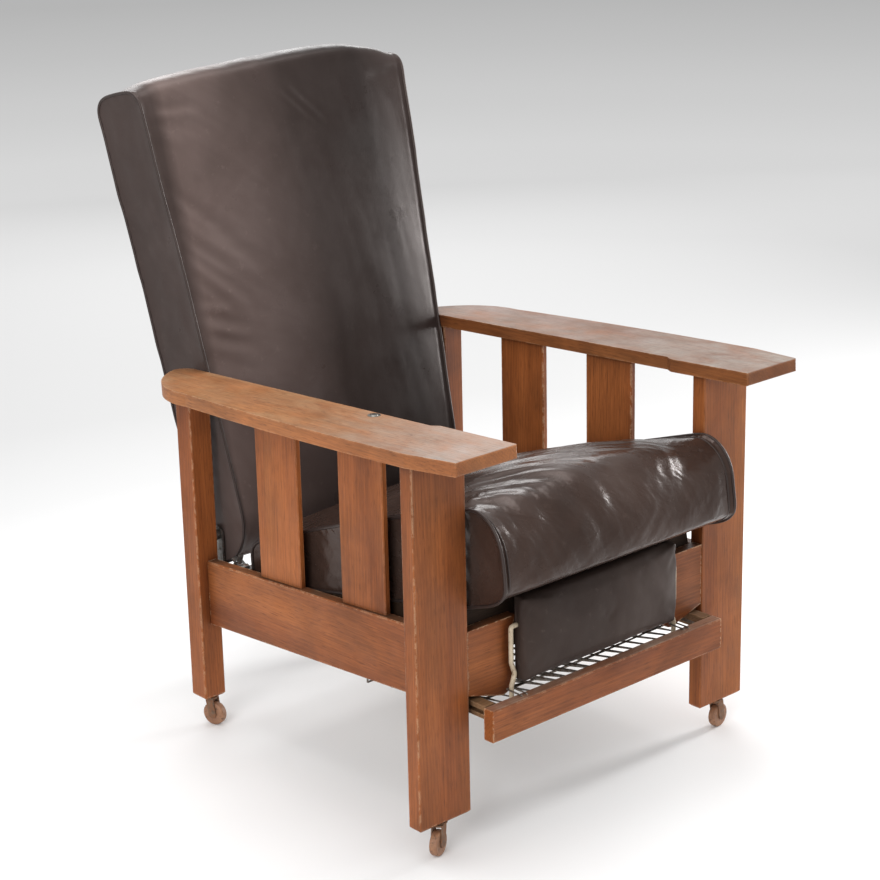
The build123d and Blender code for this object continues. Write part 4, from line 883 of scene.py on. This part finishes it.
def back_folds(place, normal):
    gap = back_seam(place)[1]
    here = on_back(place)
    if here.y > wrapped:
        return 0.0
    clear = off_seam(gap)
    if abs(normal.x) > 0.8:
        return (0.0012 * noise.noise(place * 14) + 0.0006 * noise.noise(place * 42)) * clear
    flat = Vector((here.x, 0, here.z))
    height = sum(
        crease(flat, Vector((a[0], 0, a[1])), Vector((b[0], 0, b[1])), width, depth)
        for a, b, width, depth in back_creases
    )
    slanting = ripple(place, (Vector((0.55, 0, 0.84)), 24), (Vector((0.84, 0, -0.55)), 6), 3.0, 0.02)
    upright = ripple(place, (Vector((1, 0, 0.1)), 12), (Vector((0, 0, 1)), 2.5), 9.0, 0.02)
    height += 0.0010 * clipped((-here.x - 0.02) / 0.14) * slanting
    height += 0.0009 * upright
    return height * clear + groove(gap, 0.0010)


moved_along_normals(back, back_folds)
for vertex in back.data.vertices:
    # Side points that lie just inside the width of the wooden frame move out to it
    at = on_back(vertex.co)
    least = back_half + flare * at.z - back_wall + 0.002
    if least - 0.012 < abs(at.x) < least and recess_depth - 0.004 < at.y < 0.046 and at.z < 0.69:
        vertex.co.x = math.copysign(least, at.x)
recess_half = back_half - back_wall
carved(
    back, (-recess_half, recess_depth, -0.09), (recess_half, 0.08, recess_top), flare, off_back,
)
for y, z in screw_spots:
    drilled(back, pivot + Vector((0, y, z)), screw_bore, 0.6)
finish(back, "back", back_hide, 60)
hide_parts("back_cushion")

welts = []
for side in (-1, 1):
    edge = evenly(back_seams[side], 0.008)
    welts.append(tube("back_welt", laid_on(back, edge, 0.0004), 0.0026))
finish(joined(welts, "back_welts"), "back", welt_hide)

# Leg-rest pad
pad = copied("leg_pad", "leg_pad_leather")
pad_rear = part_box("leg_pad")[1].y
board_low, board_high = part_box("leg_board")
room = 0.0003  # between the pad and the board let into it
rod_place = Vector((0, front_face - 0.009, 0.331))  # of the hooked rod ends that carry the pad
rod_bore = 0.0039


def in_pad_hollow(place):
    boxed = all(board_low[i] - 2 * room < place[i] < board_high[i] + 2 * room for i in (0, 2))
    bored = math.hypot(place.y - rod_place.y, place.z - rod_place.z) < rod_bore + 0.0006
    return boxed and place.y > board_low.y - 2 * room or bored


filled_in(pad, in_pad_hollow)
apply(pad, "REMESH", mode="VOXEL", voxel_size=0.004)


def pad_held(place):
    return 1.0 if place.y > pad_rear - 0.012 else 0.0


eased(pad, pad_held, 6)
swollen(pad, pad_held, 2.0, 0.003)
eased(pad, pad_held, 4)
apply(pad, "SUBSURF", levels=1, render_levels=1)
dimples = ((-0.004, 0.309), (0.012, 0.306), (0.004, 0.301))  # across and up, on the pad's face
dimple_width = 0.007


def pad_dents(place, normal):
    if place.y > pad_rear - 0.006:
        return 0.0
    dent = sum(
        math.exp(-(((place.x - x) ** 2 + (place.z - z) ** 2) / dimple_width**2)) for x, z in dimples
    )
    return 0.0009 * noise.noise(place * 15) + 0.0004 * noise.noise(place * 50) - 0.0011 * dent


moved_along_normals(pad, pad_dents)
carved(
    pad, (board_low.x - room, board_low.y - room, board_low.z - room),
    (board_high.x + room, board_high.y + 0.02, board_high.z + room),
)
drilled(pad, rod_place, rod_bore, 0.8)
finish(pad, "leg_rest", pad_hide, 60)
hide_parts("leg_pad")

# Round-headed tacks round the edge of the lining on the rear of the back
tack_inset = 0.016
tack_depth = 0.0473  # of the panel's outer face behind the pivot
tack_rows = (-0.040, 0.694)
tack_step = 0.036
corners = [
    Vector((side * (back_half + flare * row - tack_inset), tack_depth, row))
    for row, sides in zip(tack_rows, ((-1, 1), (1, -1)))
    for side in sides
]
bpy.ops.mesh.primitive_uv_sphere_add(segments=10, ring_count=6, radius=0.0038)
tack = bpy.context.object
tacks = []
for at in evenly(corners, tack_step):
    head = tack.copy()
    head.data = tack.data.copy()
    scene.collection.objects.link(head)
    for vertex in head.data.vertices:
        vertex.co = off_back(at + Vector((vertex.co.x, vertex.co.y * 0.45, vertex.co.z)))
    tacks.append(head)
bpy.data.objects.remove(tack)
finish(joined(tacks, "lining_tacks"), "back", dull_steel)

# Old bends in the basket wire
bends = bpy.data.textures.new("basket_bends", "CLOUDS")
bends.noise_scale = 0.07
bends.cloud_type = "COLOR"
bent = nodes["wire_basket"].modifiers.new("Bends", "DISPLACE")
bent.texture = bends
bent.texture_coords = "LOCAL"
bent.direction = "RGB_TO_XYZ"
bent.strength = 0.014
bent.mid_level = 0.5


# ---- Room, light and camera

bpy.ops.mesh.primitive_circle_add(vertices=96, radius=14, fill_type="NGON")
floor = bpy.context.object
floor.name = "floor"
material, n, l, shader = board("studio_floor")
floor_reach = 13
# Lightness of the floor from under the chair outwards, at these shares of its reach
floor_tones = (
    (0.0, 0.97), (0.05, 0.90), (0.11, 0.70), (0.15, 0.645), (0.20, 0.67), (0.245, 0.695), (0.29, 0.73),
    (0.33, 0.80), (0.37, 0.865), (0.42, 0.875), (0.50, 0.82), (0.54, 0.805), (0.65, 0.73), (0.83, 0.64),
)
reach = n.new("ShaderNodeVectorMath")
reach.operation = "LENGTH"
l.new(mapped(n, l, (1 / floor_reach, 1 / floor_reach, 0)), reach.inputs[0])
l.new(
    ramp(n, l, reach.outputs["Value"], *((share, grey(tone)) for share, tone in floor_tones)),
    shader.inputs["Base Color"],
)
shader.inputs["Roughness"].default_value = 1.0
shader.inputs["Specular IOR Level"].default_value = 0.0
floor.data.materials.append(material)

world = bpy.data.worlds.new("room")
scene.world = world
world.use_nodes = True
n, l = world.node_tree.nodes, world.node_tree.links
# Even light on the chair, and a grey backdrop where the camera sees past the floor
ambient = n["Background"]
ambient.inputs["Color"].default_value = (*grey(1.0), 1)
ambient.inputs["Strength"].default_value = 0.72
backdrop = n.new("ShaderNodeBackground")
backdrop.inputs["Color"].default_value = (*grey(0.455), 1)
rays = n.new("ShaderNodeLightPath")
either = n.new("ShaderNodeMixShader")
l.new(rays.outputs["Is Camera Ray"], either.inputs["Fac"])
l.new(ambient.outputs["Background"], either.inputs[1])
l.new(backdrop.outputs["Background"], either.inputs[2])
l.new(either.outputs["Shader"], n["World Output"].inputs["Surface"])


def softbox(name, place, aim, size, power, height=None):
    lamp = bpy.data.lights.new(name, "AREA")
    lamp.energy = power
    lamp.shape = "RECTANGLE"
    lamp.size = size
    lamp.size_y = height or size
    thing = bpy.data.objects.new(name, lamp)
    scene.collection.objects.link(thing)
    thing.location = place
    thing.rotation_euler = (Vector(aim) - Vector(place)).to_track_quat("-Z", "Y").to_euler()
    thing.visible_camera = False


softbox("overhead", (0.1, 0.3, 2.9), (0, 0, 0.4), 2.4, 44, 1.6)
softbox("left_front", (-3.2, -1.4, 2.2), (0, 0, 0.5), 2.0, 62)
softbox("right_side", (2.7, -0.5, 0.9), (0.2, 0.2, 0.8), 0.4, 54, 1.5)
softbox("window_behind", (2.3, 3.2, 1.9), (0, -0.2, 0.5), 2.6, 28, 1.0)

camera = bpy.data.cameras.new("camera")
camera.sensor_width = 36
camera.lens = 91.15
eye = bpy.data.objects.new("camera", camera)
scene.collection.objects.link(eye)
eye.location = (-2.29836, front_face - 2.21879, 1.59902)
eye.rotation_euler = (math.radians(72.3187), math.radians(1.2176), math.radians(-42.3328))
scene.camera = eye
scene.view_settings.view_transform = "Standard"
